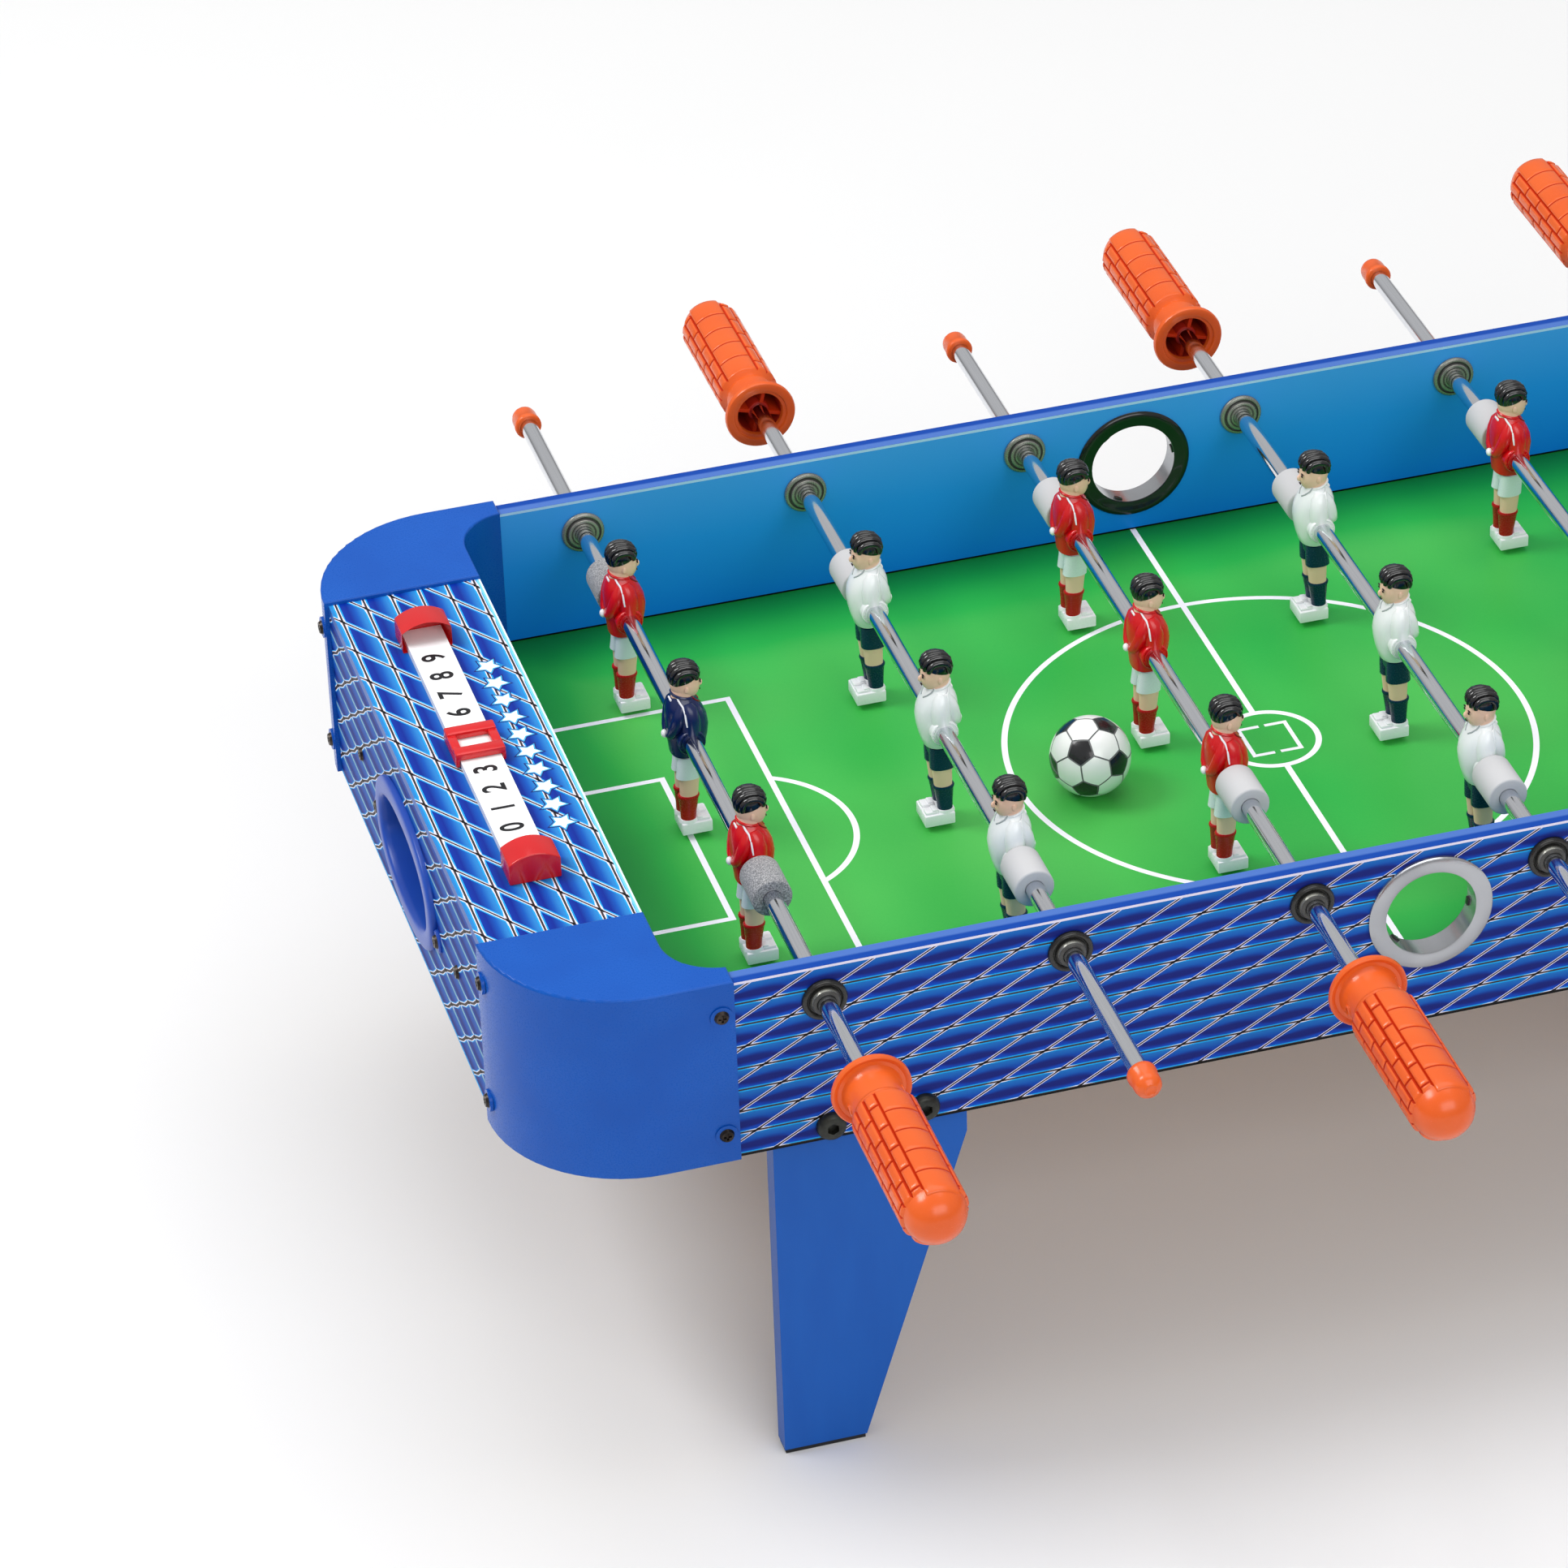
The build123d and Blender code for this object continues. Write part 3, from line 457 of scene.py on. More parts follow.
def grown(part, edges):
    """Extrudes a ring of edges, and gives the new ring's vertices and edges."""
    new = bmesh.ops.extrude_edge_only(part, edges=edges)["geom"]
    ring = [v for v in new if isinstance(v, bmesh.types.BMVert)]
    return ring, [e for e in new if isinstance(e, bmesh.types.BMEdge) and all(v in ring for v in e.verts)]


def outward(part):
    bmesh.ops.recalc_face_normals(part, faces=part.faces)
    return part


def soften(part, width, segments=2, angle=35):
    """Rounds every edge that turns by more than an angle."""
    sharp = [e for e in part.edges if e.is_manifold and e.calc_face_angle(0) > math.radians(angle)]
    bmesh.ops.bevel(part, geom=sharp, offset=width, offset_type="OFFSET", segments=segments,
                    profile=0.5, affect="EDGES", clamp_overlap=True, material=-1)
    return part


def turned(profile, steps=40, closed=False):
    """A turned solid about local Z, from (radius, height) points."""
    part = bmesh.new()
    points = [part.verts.new((radius, 0, height)) for radius, height in profile]
    pairs = list(zip(points, points[1:])) + ([(points[-1], points[0])] if closed else [])
    lines = [part.edges.new(pair) for pair in pairs]
    bmesh.ops.spin(part, geom=points + lines, cent=(0, 0, 0), axis=(0, 0, 1),
                   angle=2 * math.pi, steps=steps, use_merge=True)
    bmesh.ops.remove_doubles(part, verts=part.verts, dist=1e-4)
    return outward(part)


def block(size, centre=(0, 0, 0), round_off=0.3):
    """A block with rounded edges."""
    part = bmesh.new()
    bmesh.ops.create_cube(part, size=1, matrix=Matrix.Translation(centre) @ Matrix.Diagonal((*size, 1)))
    return soften(part, round_off)


def oval(radii, centre=(0, 0, 0), finer=2):
    """A ball drawn out to three radii."""
    part = bmesh.new()
    shape = Matrix.Translation(centre) @ Matrix.Diagonal((*radii, 1))
    bmesh.ops.create_icosphere(part, subdivisions=finer, radius=1, matrix=shape)
    return part


def skin_over(rings, part):
    """Bridges rings of vertices in turn and closes both ends."""
    loops = [ring_edges(ring) for ring in rings]
    for lower, upper in zip(loops, loops[1:]):
        bmesh.ops.bridge_loops(part, edges=lower + upper)
    for end in (loops[0], loops[-1]):
        bmesh.ops.edgeloop_fill(part, edges=end)
    return outward(part)


def lofted(sections, points=20, fullness=2.0, middle_y=0.0):
    """A body through level oval sections: (height, middle x, half depth, half width)."""
    part = bmesh.new()
    rings = []
    for height, middle, deep, wide in sections:
        ring = bmesh.ops.create_circle(part, segments=points, radius=1)["verts"]
        for v in ring:
            out = swell(v.co.x, v.co.y, fullness)
            v.co = (v.co.x * out * deep + middle, v.co.y * out * wide + middle_y, height)
        rings.append(ring)
    return skin_over(rings, part)


def limb(path, points=12):
    """A round limb along (x, y, z, radius) points."""
    part = bmesh.new()
    places = [Vector(point[:3]) for point in path]
    rings = []
    for n, place in enumerate(places):
        ahead = places[min(n + 1, len(places) - 1)] - places[max(n - 1, 0)]
        shape = Matrix.Translation(place) @ ahead.to_track_quat("Z", "Y").to_matrix().to_4x4()
        rings.append(bmesh.ops.create_circle(
            part, segments=points, radius=path[n][3], matrix=shape)["verts"])
    return skin_over(rings, part)


def put(whole, part, matrix=None, finish=None, keep=False):
    """Adds a part to a piece, placed and in one of the piece's finishes."""
    part = part.copy() if keep else part
    if matrix is not None:
        bmesh.ops.transform(part, matrix=matrix, verts=part.verts)
        if matrix.determinant() < 0:
            bmesh.ops.reverse_faces(part, faces=part.faces)
    if finish is not None:
        for face in part.faces:
            face.material_index = finish
    scratch = bpy.data.meshes.new("scratch")
    part.to_mesh(scratch)
    part.free()
    whole.from_mesh(scratch)
    bpy.data.meshes.remove(scratch)
    return whole


def finished(name, whole, finishes, body, slot, *nodes, smooth=40):
    """Makes the piece's object, in metres, on its body."""
    bmesh.ops.transform(whole, matrix=Matrix.Scale(MM, 4), verts=whole.verts)
    mesh = bpy.data.meshes.new(name)
    whole.to_mesh(mesh)
    whole.free()
    for finish in finishes:
        mesh.materials.append(finish)
    mesh.shade_smooth()
    mesh.set_sharp_from_angle(angle=math.radians(smooth))
    piece = bpy.data.objects.new(name, mesh)
    scene.collection.objects.link(piece)
    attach(piece, body)
    if nodes:
        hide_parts(*nodes)
    return piece


def lying(x, y, z, way):
    """Turns local Z to point along Y, one way or the other, and local X to stay."""
    return Matrix.Translation((x, y, z)) @ Matrix.Rotation(-way * math.pi / 2, 4, "X")


def end_on(x, y, z, way):
    """Turns local Z to point along X, one way or the other, and local X to point down or up."""
    return Matrix.Translation((x, y, z)) @ Matrix.Rotation(way * math.pi / 2, 4, "Y")


def extruded(part, depth):
    """Raises the plate's face by a depth and gives it walls and a floor."""
    floor = part.faces[:]
    top = bmesh.ops.extrude_face_region(part, geom=floor, use_keep_orig=True)["geom"]
    risen = [v for v in top if isinstance(v, bmesh.types.BMVert)]
    bmesh.ops.translate(part, verts=risen, vec=(0, 0, depth))
    return outward(part)


# ---- Camera, light and floor ----
camera = bpy.data.objects.new("camera", bpy.data.cameras.new("camera"))
camera.location = (-0.7372, -2.0114, 1.5748)
camera.rotation_euler = [math.radians(angle) for angle in (56.279, 1.823, -16.286)]
camera.data.sensor_width = 36.0
camera.data.lens = 151.43
scene.collection.objects.link(camera)
scene.camera = camera
scene.view_settings.view_transform = "Standard"


def soft_light(name, place, aim, size, power):
    lamp = bpy.data.lights.new(name, "AREA")
    lamp.shape = "RECTANGLE"
    lamp.size, lamp.size_y = size
    lamp.energy = power
    light = bpy.data.objects.new(name, lamp)
    light.location = place
    light.rotation_euler = (Vector(aim) - Vector(place)).to_track_quat("-Z", "Y").to_euler()
    scene.collection.objects.link(light)


soft_light("window_light", (-1.65, 0.5, 2.2), (0, 0, 0.2), (0.9, 0.9), 32)
soft_light("room_fill", (0.2, -2.6, 1.9), (0, 0, 0.15), (2.4, 1.4), 34)
soft_light("ceiling_light", (0.3, 0.4, 2.8), (0.1, 0, 0), (2.6, 2.2), 28)

world = bpy.data.worlds.new("studio")
world.use_nodes = True
scene.world = world
sky = world.node_tree
sky_place = sky.nodes.new("ShaderNodeTexCoord")
sky_split = sky.nodes.new("ShaderNodeSeparateXYZ")
sky_ramp = sky.nodes.new("ShaderNodeValToRGB")
sky_height = sky.nodes.new("ShaderNodeMapRange")
sky_height.inputs["From Min"].default_value = -1.0
sky.links.new(sky_place.outputs["Generated"], sky_split.inputs[0])
sky.links.new(sky_split.outputs["Z"], sky_height.inputs["Value"])
sky.links.new(sky_height.outputs[0], sky_ramp.inputs[0])
sky.links.new(sky_ramp.outputs[0], sky.nodes["Background"].inputs["Color"])
sky.nodes["Background"].inputs["Strength"].default_value = 0.55
for element, place, light in zip(sky_ramp.color_ramp.elements, (0.5, 0.68), (0.5, 1.0)):
    element.position = place
    element.color = (light, light, light, 1)

floor_mesh = bmesh.new()
bmesh.ops.create_grid(floor_mesh, x_segments=1, y_segments=1, size=6)
floor_data = bpy.data.meshes.new("floor")
floor_mesh.to_mesh(floor_data)
floor_mesh.free()
floor = bpy.data.objects.new("floor", floor_data)
scene.collection.objects.link(floor)
floor_finish = Finish("floor_paint", Roughness=0.9)
floor_data.materials.append(floor_finish.set(floor_finish.over(
    floor_finish.speckle(400, 2.0), paint(236, 236, 236), paint(232, 232, 232))))


# ---- Frame nodes that keep their shape ----
side_printed, end_top_printed, end_face_printed = side_print(), end_top_print(), end_face_print()
kept = {
    "side_wall_front": side_printed, "side_wall_back": side_printed,
    "end_cover_left": end_top_printed, "end_cover_right": end_top_printed,
    "end_panel_left": end_face_printed, "end_panel_right": end_face_printed,
    "playfield": field_print(),
    "goal_wall_left": goal_blue, "goal_wall_right": goal_blue,
    "corner_guards": guard_blue, "guard_screws": screw_dark, "panel_screws": screw_dark,
    "return_screws": screw_dark, "legs": leg_blue, "foot_pads": pad_black, "leg_nuts": nut_zinc,
    "score_rails": score_white,
}
rod_plate = chrome()
for rod in rods:
    kept[rod + "_tube"] = rod_plate
for node, finish in kept.items():
    for material_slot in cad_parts[node].material_slots:
        material_slot.material = finish


# ---- Leg bolts ----
def leg_bolt(head_r, head_t, shank_r, reach, socket_r):
    """Domed head with a hexagon socket, a washer face and a plain shank, seated on local XY."""
    part = bmesh.new()
    hexagon = bmesh.ops.create_circle(part, segments=6, radius=socket_r)["verts"]
    for v in hexagon:
        v.co.z = head_t
    rim = bmesh.ops.create_circle(part, segments=24, radius=socket_r * 1.35)["verts"]
    for v in rim:
        v.co.z = head_t - 0.05
    socket, edge = ring_edges(hexagon), ring_edges(rim)
    bmesh.ops.bridge_loops(part, edges=socket + edge)
    profile = ((0.72, 0.95), (0.88, 0.8), (0.97, 0.5), (1.0, 0.15), (0.97, 0.0), (shank_r / head_r, 0.0),
               (shank_r / head_r, -reach / head_t))
    for radius, height in profile:
        ring, edge = grown(part, edge)
        for v in ring:
            spoke = Vector((v.co.x, v.co.y, 0)).normalized() * radius * head_r
            v.co = spoke + Vector((0, 0, height * head_t))
    bmesh.ops.edgeloop_fill(part, edges=edge)
    bottom, edge = grown(part, socket)
    for v in bottom:
        v.co.z = head_t * 0.35
    bmesh.ops.edgeloop_fill(part, edges=edge)
    return outward(part)


bolt_low, bolt_high = corners("leg_bolts")
bolt_head_r = (bolt_high.z - bolt_low.z) / 2
bolt_z = (bolt_high.z + bolt_low.z) / 2
bolt_pitch, shank_r, shank_end, socket_r = 35.2, 3.0, 150.0, 2.4
bolt_x = (bolt_high.x - bolt_head_r, bolt_high.x - bolt_head_r - bolt_pitch)
bolts = bmesh.new()
for side in sides:
    for end in sides:
        for x in bolt_x:
            one = leg_bolt(bolt_head_r, bolt_high.y - half_outer, shank_r, half_outer - shank_end, socket_r)
            put(bolts, one, lying(end * x, side * half_outer, bolt_z, side), 0)
finished("leg_bolts_turned", bolts, [bolt_black], "root", "black_bolt", "leg_bolts")

# ---- Rod bushes and their lock rings ----
bush_low, bush_high = corners("rod_bushes")
ring_low, ring_high = corners("lock_rings")
flange_r = (bush_high.z - bush_low.z) / 2
ring_r = (ring_high.z - ring_low.z) / 2
bush_out = bush_high.y - half_outer
bore_r = tube_r + 0.05
inside = -(half_outer - half_inner)
bush_profile = (
    (bore_r, bush_out - 0.3), (bore_r + 0.3, bush_out), (4.7, bush_out), (5.2, bush_out - 0.5),
    (5.2, inside), (flange_r - 0.5, inside), (flange_r, inside - 0.4), (flange_r, inside - 1.1),
    (flange_r - 0.6, inside - 1.7), (7.4, inside - 1.7), (7.0, inside - 1.15), (6.6, inside - 1.15),
    (6.3, inside - 2.3), (5.9, inside - 2.5), (5.3, inside - 2.5), (5.0, inside - 2.1),
    (4.6, inside - 2.1), (4.4, inside - 2.5), (bore_r + 0.2, inside - 2.5), (bore_r, inside - 2.3),
)
ring_profile = (
    (5.25, 0.0), (ring_r, 0.0), (ring_r, 1.0), (ring_r - 0.5, 1.6), (ring_r - 1.1, 1.8),
    (ring_r - 1.8, 1.5), (ring_r - 2.3, 0.8), (6.0, 0.8), (5.7, 1.5), (5.25, 1.5),
)
bushes, lock_rings = bmesh.new(), bmesh.new()
for side in sides:
    for x in rod_x:
        bush = turned(bush_profile, 32, True)
        for face in bush.faces:
            middle = face.calc_center_median()
            radius = math.hypot(middle.x, middle.y)
            in_groove = 6.4 < radius < 7.3 or 4.5 < radius < 5.1
            face.material_index = middle.z > 0 or (middle.z < inside and in_groove)
        put(bushes, bush, lying(x, side * half_outer, rod_z, side))
        put(lock_rings, turned(ring_profile, 32, True), lying(x, side * half_outer, rod_z, side), 0)
finished("rod_bushes_turned", bushes, [bush_grey, nose_grey], "root", "grey_plastic", "rod_bushes", smooth=50)
finished("lock_rings_dished", lock_rings, [ring_black], "root", "black_plastic", "lock_rings", smooth=50)

# ---- Ball entry holes ----
entry_low, entry_high = corners("entry_flanges")
entry_z = (entry_low.z + entry_high.z) / 2
entry_r = (entry_high.z - entry_low.z) / 2
bore, sleeve_r = 17.5, 19.5
flange_profile = (
    (sleeve_r, inside), (entry_r - 0.3, inside), (entry_r, inside - 0.5), (entry_r - 0.5, inside - 1.2),
    (entry_r - 1.4, inside - 1.6), (21.4, inside - 1.6), (20.8, inside - 1.2), (bore + 0.5, inside - 1.2),
    (bore + 0.1, inside - 1.0), (bore + 0.1, inside - 0.9), (sleeve_r, inside - 0.9),
)
sleeve_profile = (
    (bore, inside - 0.8), (sleeve_r - 0.1, inside - 0.8), (sleeve_r, inside - 0.7),
    (sleeve_r, 0.0), (entry_r, 0.0), (entry_r, 0.9), (entry_r - 0.7, 1.5), (bore + 1.2, 1.6), (bore, 1.1),
)
flanges, sleeves = bmesh.new(), bmesh.new()
for side in sides:
    seat = lying(0, side * half_outer, entry_z, side)
    put(flanges, turned(flange_profile, 56, True), seat, 0)
    put(sleeves, turned(sleeve_profile, 56, True), seat, 0)
    for turn in (20, 140, 260):
        clip = block((3.0, 1.0, 2.4), (0, bore - 0.3, inside + 1.0), 0.2)
        put(flanges, clip, seat @ Matrix.Rotation(math.radians(turn), 4, "Z"), 0)
finished("entry_flanges_rounded", flanges, [flange_black], "root", "black_plastic", "entry_flanges")
finished("entry_sleeves_turned", sleeves, [sleeve_grey], "root", "grey_plastic", "entry_sleeves")

# ---- Ball returns ----
return_low, return_high = corners("ball_returns")
return_z = (return_low.z + return_high.z) / 2
return_w, return_h = 88.0, return_high.z - return_low.z
proud = return_high.x - half_length
ear_out, ear_drop = 47.3, 5.0


def return_rim():
    """Rounded rim, its mouth and a short throat, opening along local Z; local X points down."""
    part = bmesh.new()
    outline = bmesh.ops.create_circle(part, segments=72, radius=1, cap_ends=True)["verts"]
    for v in outline:
        out = swell(v.co.x, v.co.y, 2.3)
        v.co = (v.co.x * out * return_h / 2, v.co.y * out * return_w / 2, 0)
    extruded(part, proud - 1.2)
    face = max(part.faces, key=lambda f: f.calc_center_median().z)
    for inset, rise in (
            (0.35, 0.6), (0.7, 0.4), (1.1, 0.2), (4.0, 0.0), (1.0, -0.3), (0.6, -0.9), (0.3, -2.0)):
        bmesh.ops.inset_region(part, faces=[face], thickness=inset, depth=rise)
    for step in (6.0, 3.0):
        moved = bmesh.ops.extrude_face_region(part, geom=[face])["geom"]
        bmesh.ops.delete(part, geom=[face], context="FACES_ONLY")
        face = next(f for f in moved if isinstance(f, bmesh.types.BMFace))
        bmesh.ops.translate(part, verts=face.verts, vec=(0, 0, -step))
    bmesh.ops.delete(part, geom=[face], context="FACES_ONLY")
    back = [f for f in part.faces if len(f.verts) > 8]
    bmesh.ops.delete(part, geom=back, context="FACES_ONLY")
    return part


def chute():
    """The tray behind the opening: a sloping floor between two low sides, local Z outwards."""
    part = bmesh.new()
    shape = Matrix.Translation((4.0, 0, -23.0)) @ Matrix.Diagonal((24, 74, 30, 1))
    bmesh.ops.create_cube(part, size=1, matrix=shape)
    up = min(part.faces, key=lambda f: f.calc_center_median().x)
    open_faces = [up] + [f for f in part.faces if abs(f.normal.z) > 0.9]
    bmesh.ops.delete(part, geom=open_faces, context="FACES")
    bmesh.ops.solidify(part, geom=part.faces[:], thickness=1.6)
    return soften(outward(part), 0.3)


returns = bmesh.new()
for end in sides:
    seat = end_on(end * half_length, 0, return_z, end)
    put(returns, return_rim(), seat, 0)
    put(returns, chute(), seat @ Matrix.Rotation(0 if end > 0 else math.pi, 4, "Z"), 1)
    for side in sides:
        ear = turned(((0, 1.2), (2.2, 1.2), (4.0, 1.2), (4.5, 0.7), (4.5, 0), (0, 0)), 24)
        put(returns, ear, end_on(end * half_length, side * ear_out, return_z - ear_drop, end), 0)
finished("ball_returns_rimmed", returns, [return_blue, chute_blue], "root", "blue_plastic", "ball_returns")

# ---- Scorers ----
rail_top = corners("score_rails")[1].z
bracket_w, bracket_deep = 19.5, 13.2
score_x = corners("score_brackets")[1].x - bracket_w / 2
score_y, bracket_out = 1.6, 89.0
digit_height, digit_narrowing, first_digit, digit_pitch = 12.4, 0.86, -56.3, 13.47
star_x, star_middle, star_pitch = 294.6, 2.5, 12.4


def bracket():
    """Arched bracket, open towards local -Y, its outer end on local XZ."""
    part = bmesh.new()
    place = Matrix.Translation((0, -bracket_deep / 2, 4.25))
    shape = place @ Matrix.Diagonal((bracket_w, bracket_deep, 8.5, 1))
    bmesh.ops.create_cube(part, size=1, matrix=shape)
    across = [e for e in part.edges if abs(e.verts[0].co.x - e.verts[1].co.x) > 1]
    bmesh.ops.subdivide_edges(part, edges=across, cuts=11, use_grid_fill=True)
    for v in part.verts:
        if v.co.z > 8:
            v.co.z += 3.4 * (1 - (2 * v.co.x / bracket_w) ** 2)
    mouth = [f for f in part.faces if f.normal.y < -0.9]
    bmesh.ops.inset_region(part, faces=mouth, thickness=1.6, use_boundary=True)
    bmesh.ops.translate(part, verts=list({v for f in mouth for v in f.verts}), vec=(0, bracket_deep - 1.8, 0))
    return soften(part, 0.5, 3, 40)


brackets = bmesh.new()
for end in sides:
    for along in sides:
        place = Matrix.Translation((end * score_x, -end * score_y + along * bracket_out, wall_top))
        put(brackets, bracket(), place @ Matrix.Diagonal((1, along, 1, 1)), 0)
finished("score_brackets_arched", brackets, [score_red], "root", "red_plastic", "score_brackets", smooth=50)


def slider():
    """Slider with raised bars at its ends round a window, and two lips that hold the rail."""
    whole = bmesh.new()
    for along in sides:
        put(whole, block((19.2, 5.6, 3.0), (0, along * 7.2, 4.5), 0.7), None, 0)
        put(whole, block((3.5, 9.4, 2.3), (along * 7.85, 0, 4.2), 0.5), None, 0)
        put(whole, block((1.5, 20.0, 3.6), (along * 8.85, 0, 2.1), 0.4), None, 0)
    return whole


for end, word in ((-1, "left"), (1, "right")):
    node = "score_slider_" + word
    low, high = corners(node)
    piece = bmesh.new()
    put(piece, slider(), Matrix.Translation(((low.x + high.x) / 2, (low.y + high.y) / 2, wall_top + 0.2)), 0)
    finished(node + "_framed", piece, [score_red], "score_" + word, "red_plastic", node)


def printed_digit(character, height):
    """A flat printed digit as a thin solid about the local origin."""
    curve = bpy.data.curves.new("digit", "FONT")
    curve.body = character
    curve.size = height
    curve.offset = 0.02 * height
    curve.align_x, curve.align_y = "CENTER", "CENTER"
    curve.extrude = 0.04
    shown = bpy.data.objects.new("digit", curve)
    mesh = bpy.data.meshes.new_from_object(shown)
    part = bmesh.new()
    part.from_mesh(mesh)
    bpy.data.objects.remove(shown)
    bpy.data.curves.remove(curve)
    bpy.data.meshes.remove(mesh)
    bmesh.ops.remove_doubles(part, verts=part.verts, dist=1e-4)
    return part


def star(radius, thick):
    """A five-pointed printed star as a thin solid."""
    part = bmesh.new()
    points = bmesh.ops.create_circle(part, segments=10, radius=radius, cap_ends=True)["verts"]
    for n, v in enumerate(points):
        v.co *= 1.0 if n % 2 == 0 else 0.52
    return extruded(part, thick)


for end, word in ((-1, "left"), (1, "right")):
    upright = Matrix.Rotation(-end * math.pi / 2, 4, "Z")
    digits = bmesh.new()
    for number in range(10):
        y = score_y + first_digit + digit_pitch * number
        place = Matrix.Translation((end * score_x, -end * y, rail_top + 0.03)) @ upright
        narrowed = place @ Matrix.Diagonal((digit_narrowing, 1, 1, 1))
        put(digits, printed_digit(str(number), digit_height), narrowed, 0)
    finished("score_digits_" + word, digits, [print_black], "root", "white_plastic")
    stars = bmesh.new()
    for n in range(10):
        place = Matrix.Translation((end * star_x, -end * (star_middle - star_pitch * (n - 4.5)), wall_top))
        place = place @ Matrix.Rotation(math.radians(90 + 18), 4, "Z")
        put(stars, star(6.6, 0.06), place, 2)
        put(stars, star(5.6, 0.10), place, 1)
        put(stars, star(4.5, 0.14), place, 0)
    finished("end_stars_" + word, stars, [print_white, print_cyan, print_navy], "root", "printed_board")

# ---- Ball ----
ball_low, ball_high = corners("ball")
ball_r = (ball_high.z - ball_low.z) / 2
ball = bmesh.new()
bmesh.ops.create_icosphere(ball, subdivisions=1, radius=ball_r)
edge_length = ball.edges[:][0].calc_length()
bmesh.ops.bevel(ball, geom=ball.verts[:], offset=edge_length / 3, offset_type="OFFSET", segments=1,
                profile=0.5, affect="VERTICES", material=-1)
panels = ball.faces[:]
for panel in panels:
    panel.material_index = 1 if len(panel.verts) == 5 else 0
seam = bmesh.ops.inset_individual(ball, faces=panels, thickness=0.28, use_even_offset=True)["faces"]
for face in seam:
    face.material_index = 2
bmesh.ops.poke(ball, faces=panels)
bmesh.ops.subdivide_edges(ball, edges=ball.edges[:], cuts=3, use_grid_fill=True)
seam_verts = {v for f in ball.faces if f.material_index == 2 for v in f.verts}
panel_verts = {v for f in ball.faces if f.material_index != 2 for v in f.verts}
for v in ball.verts:
    deep = 0.35 if v in seam_verts and v not in panel_verts else 0.0
    v.co = v.co.normalized() * (ball_r - deep)
bmesh.ops.transform(ball, matrix=Matrix.Translation((ball_low + ball_high) / 2)
                    @ Matrix.Rotation(math.radians(24), 4, (0.3, 1, 0.2)), verts=ball.verts)
finished("ball_panelled", ball, [ball_white, ball_black, ball_seam], "ball", "ball_plastic", "ball")

# ---- Handles, caps and bumpers ----
handle_low, handle_high = corners("rod_1_handle")
handle_length = handle_high.y - handle_low.y
handle_flange_r = (handle_high.z - handle_low.z) / 2
grip_r, neck_r, dome_length = 12.0, 10.2, 10.0
grip_from, grip_rows, grip_around = 18.0, 24, 48
wide_panel, rib_count = 9, 5                       # faces across a wide panel, ribs on each flank


def grip_skin():
    """The gripped length: two wide panels and rounded ribs, all cut across, and a domed end."""
    part = bmesh.new()
    length = handle_length - dome_length - grip_from
    edge = bmesh.ops.create_circle(part, segments=grip_around, radius=neck_r, matrix=Matrix.Translation(
        (0, 0, grip_from - 3.4)) @ Matrix.Rotation(math.pi / grip_around, 4, "Z"))["verts"]
    loop = ring_edges(edge)
    heights = [(grip_from - 1.6, neck_r - 0.2), (grip_from, grip_r - 0.7)]
    heights += [(grip_from + length * n / grip_rows, grip_r - 0.7) for n in range(1, grip_rows + 1)]
    heights += [(handle_length - dome_length + dome_length * math.sin(a), (grip_r - 0.7) * math.cos(a))
                for a in (0.3, 0.6, 0.9, 1.15, 1.35)]
    for height, radius in heights:
        ring, loop = grown(part, loop)
        for v in ring:
            v.co = Vector((v.co.x, v.co.y, 0)).normalized() * radius + Vector((0, 0, height))
    bmesh.ops.edgeloop_fill(part, edges=loop)
    outward(part)

    def pad(first, last, start, stop, rise, edge_in):
        """Raises a pad between two angles and two rows."""
        chosen = []
        for face in part.faces:
            middle = face.calc_center_median()
            row = (middle.z - grip_from) / length * grip_rows
            step = (math.degrees(math.atan2(middle.y, middle.x)) - first) % 360
            if start < row < stop and step < last - first:
                chosen.append(face)
        for share, inset in ((0.7, edge_in), (0.3, 0.45)):
            bmesh.ops.inset_region(part, faces=chosen, thickness=inset, depth=share * rise,
                                   use_even_offset=True)

    face_turn = 360 / grip_around
    half_panel = wide_panel * face_turn / 2
    rib = (180 - 2 * half_panel) / rib_count
    for middle in (90, 270):
        for start in range(0, grip_rows, 5):
            pad(middle - half_panel, middle + half_panel, start, min(start + 5, grip_rows + 3), 0.8, 0.3)
        for n in range(rib_count):
            first = middle + half_panel + n * rib
            cuts = [0] + list(range(3 + 2 * (n % 2), grip_rows, 5)) + [grip_rows]
            for start, stop in zip(cuts, cuts[1:]):
                pad(first, first + rib, start, stop, 1.1, 0.5)
    return part


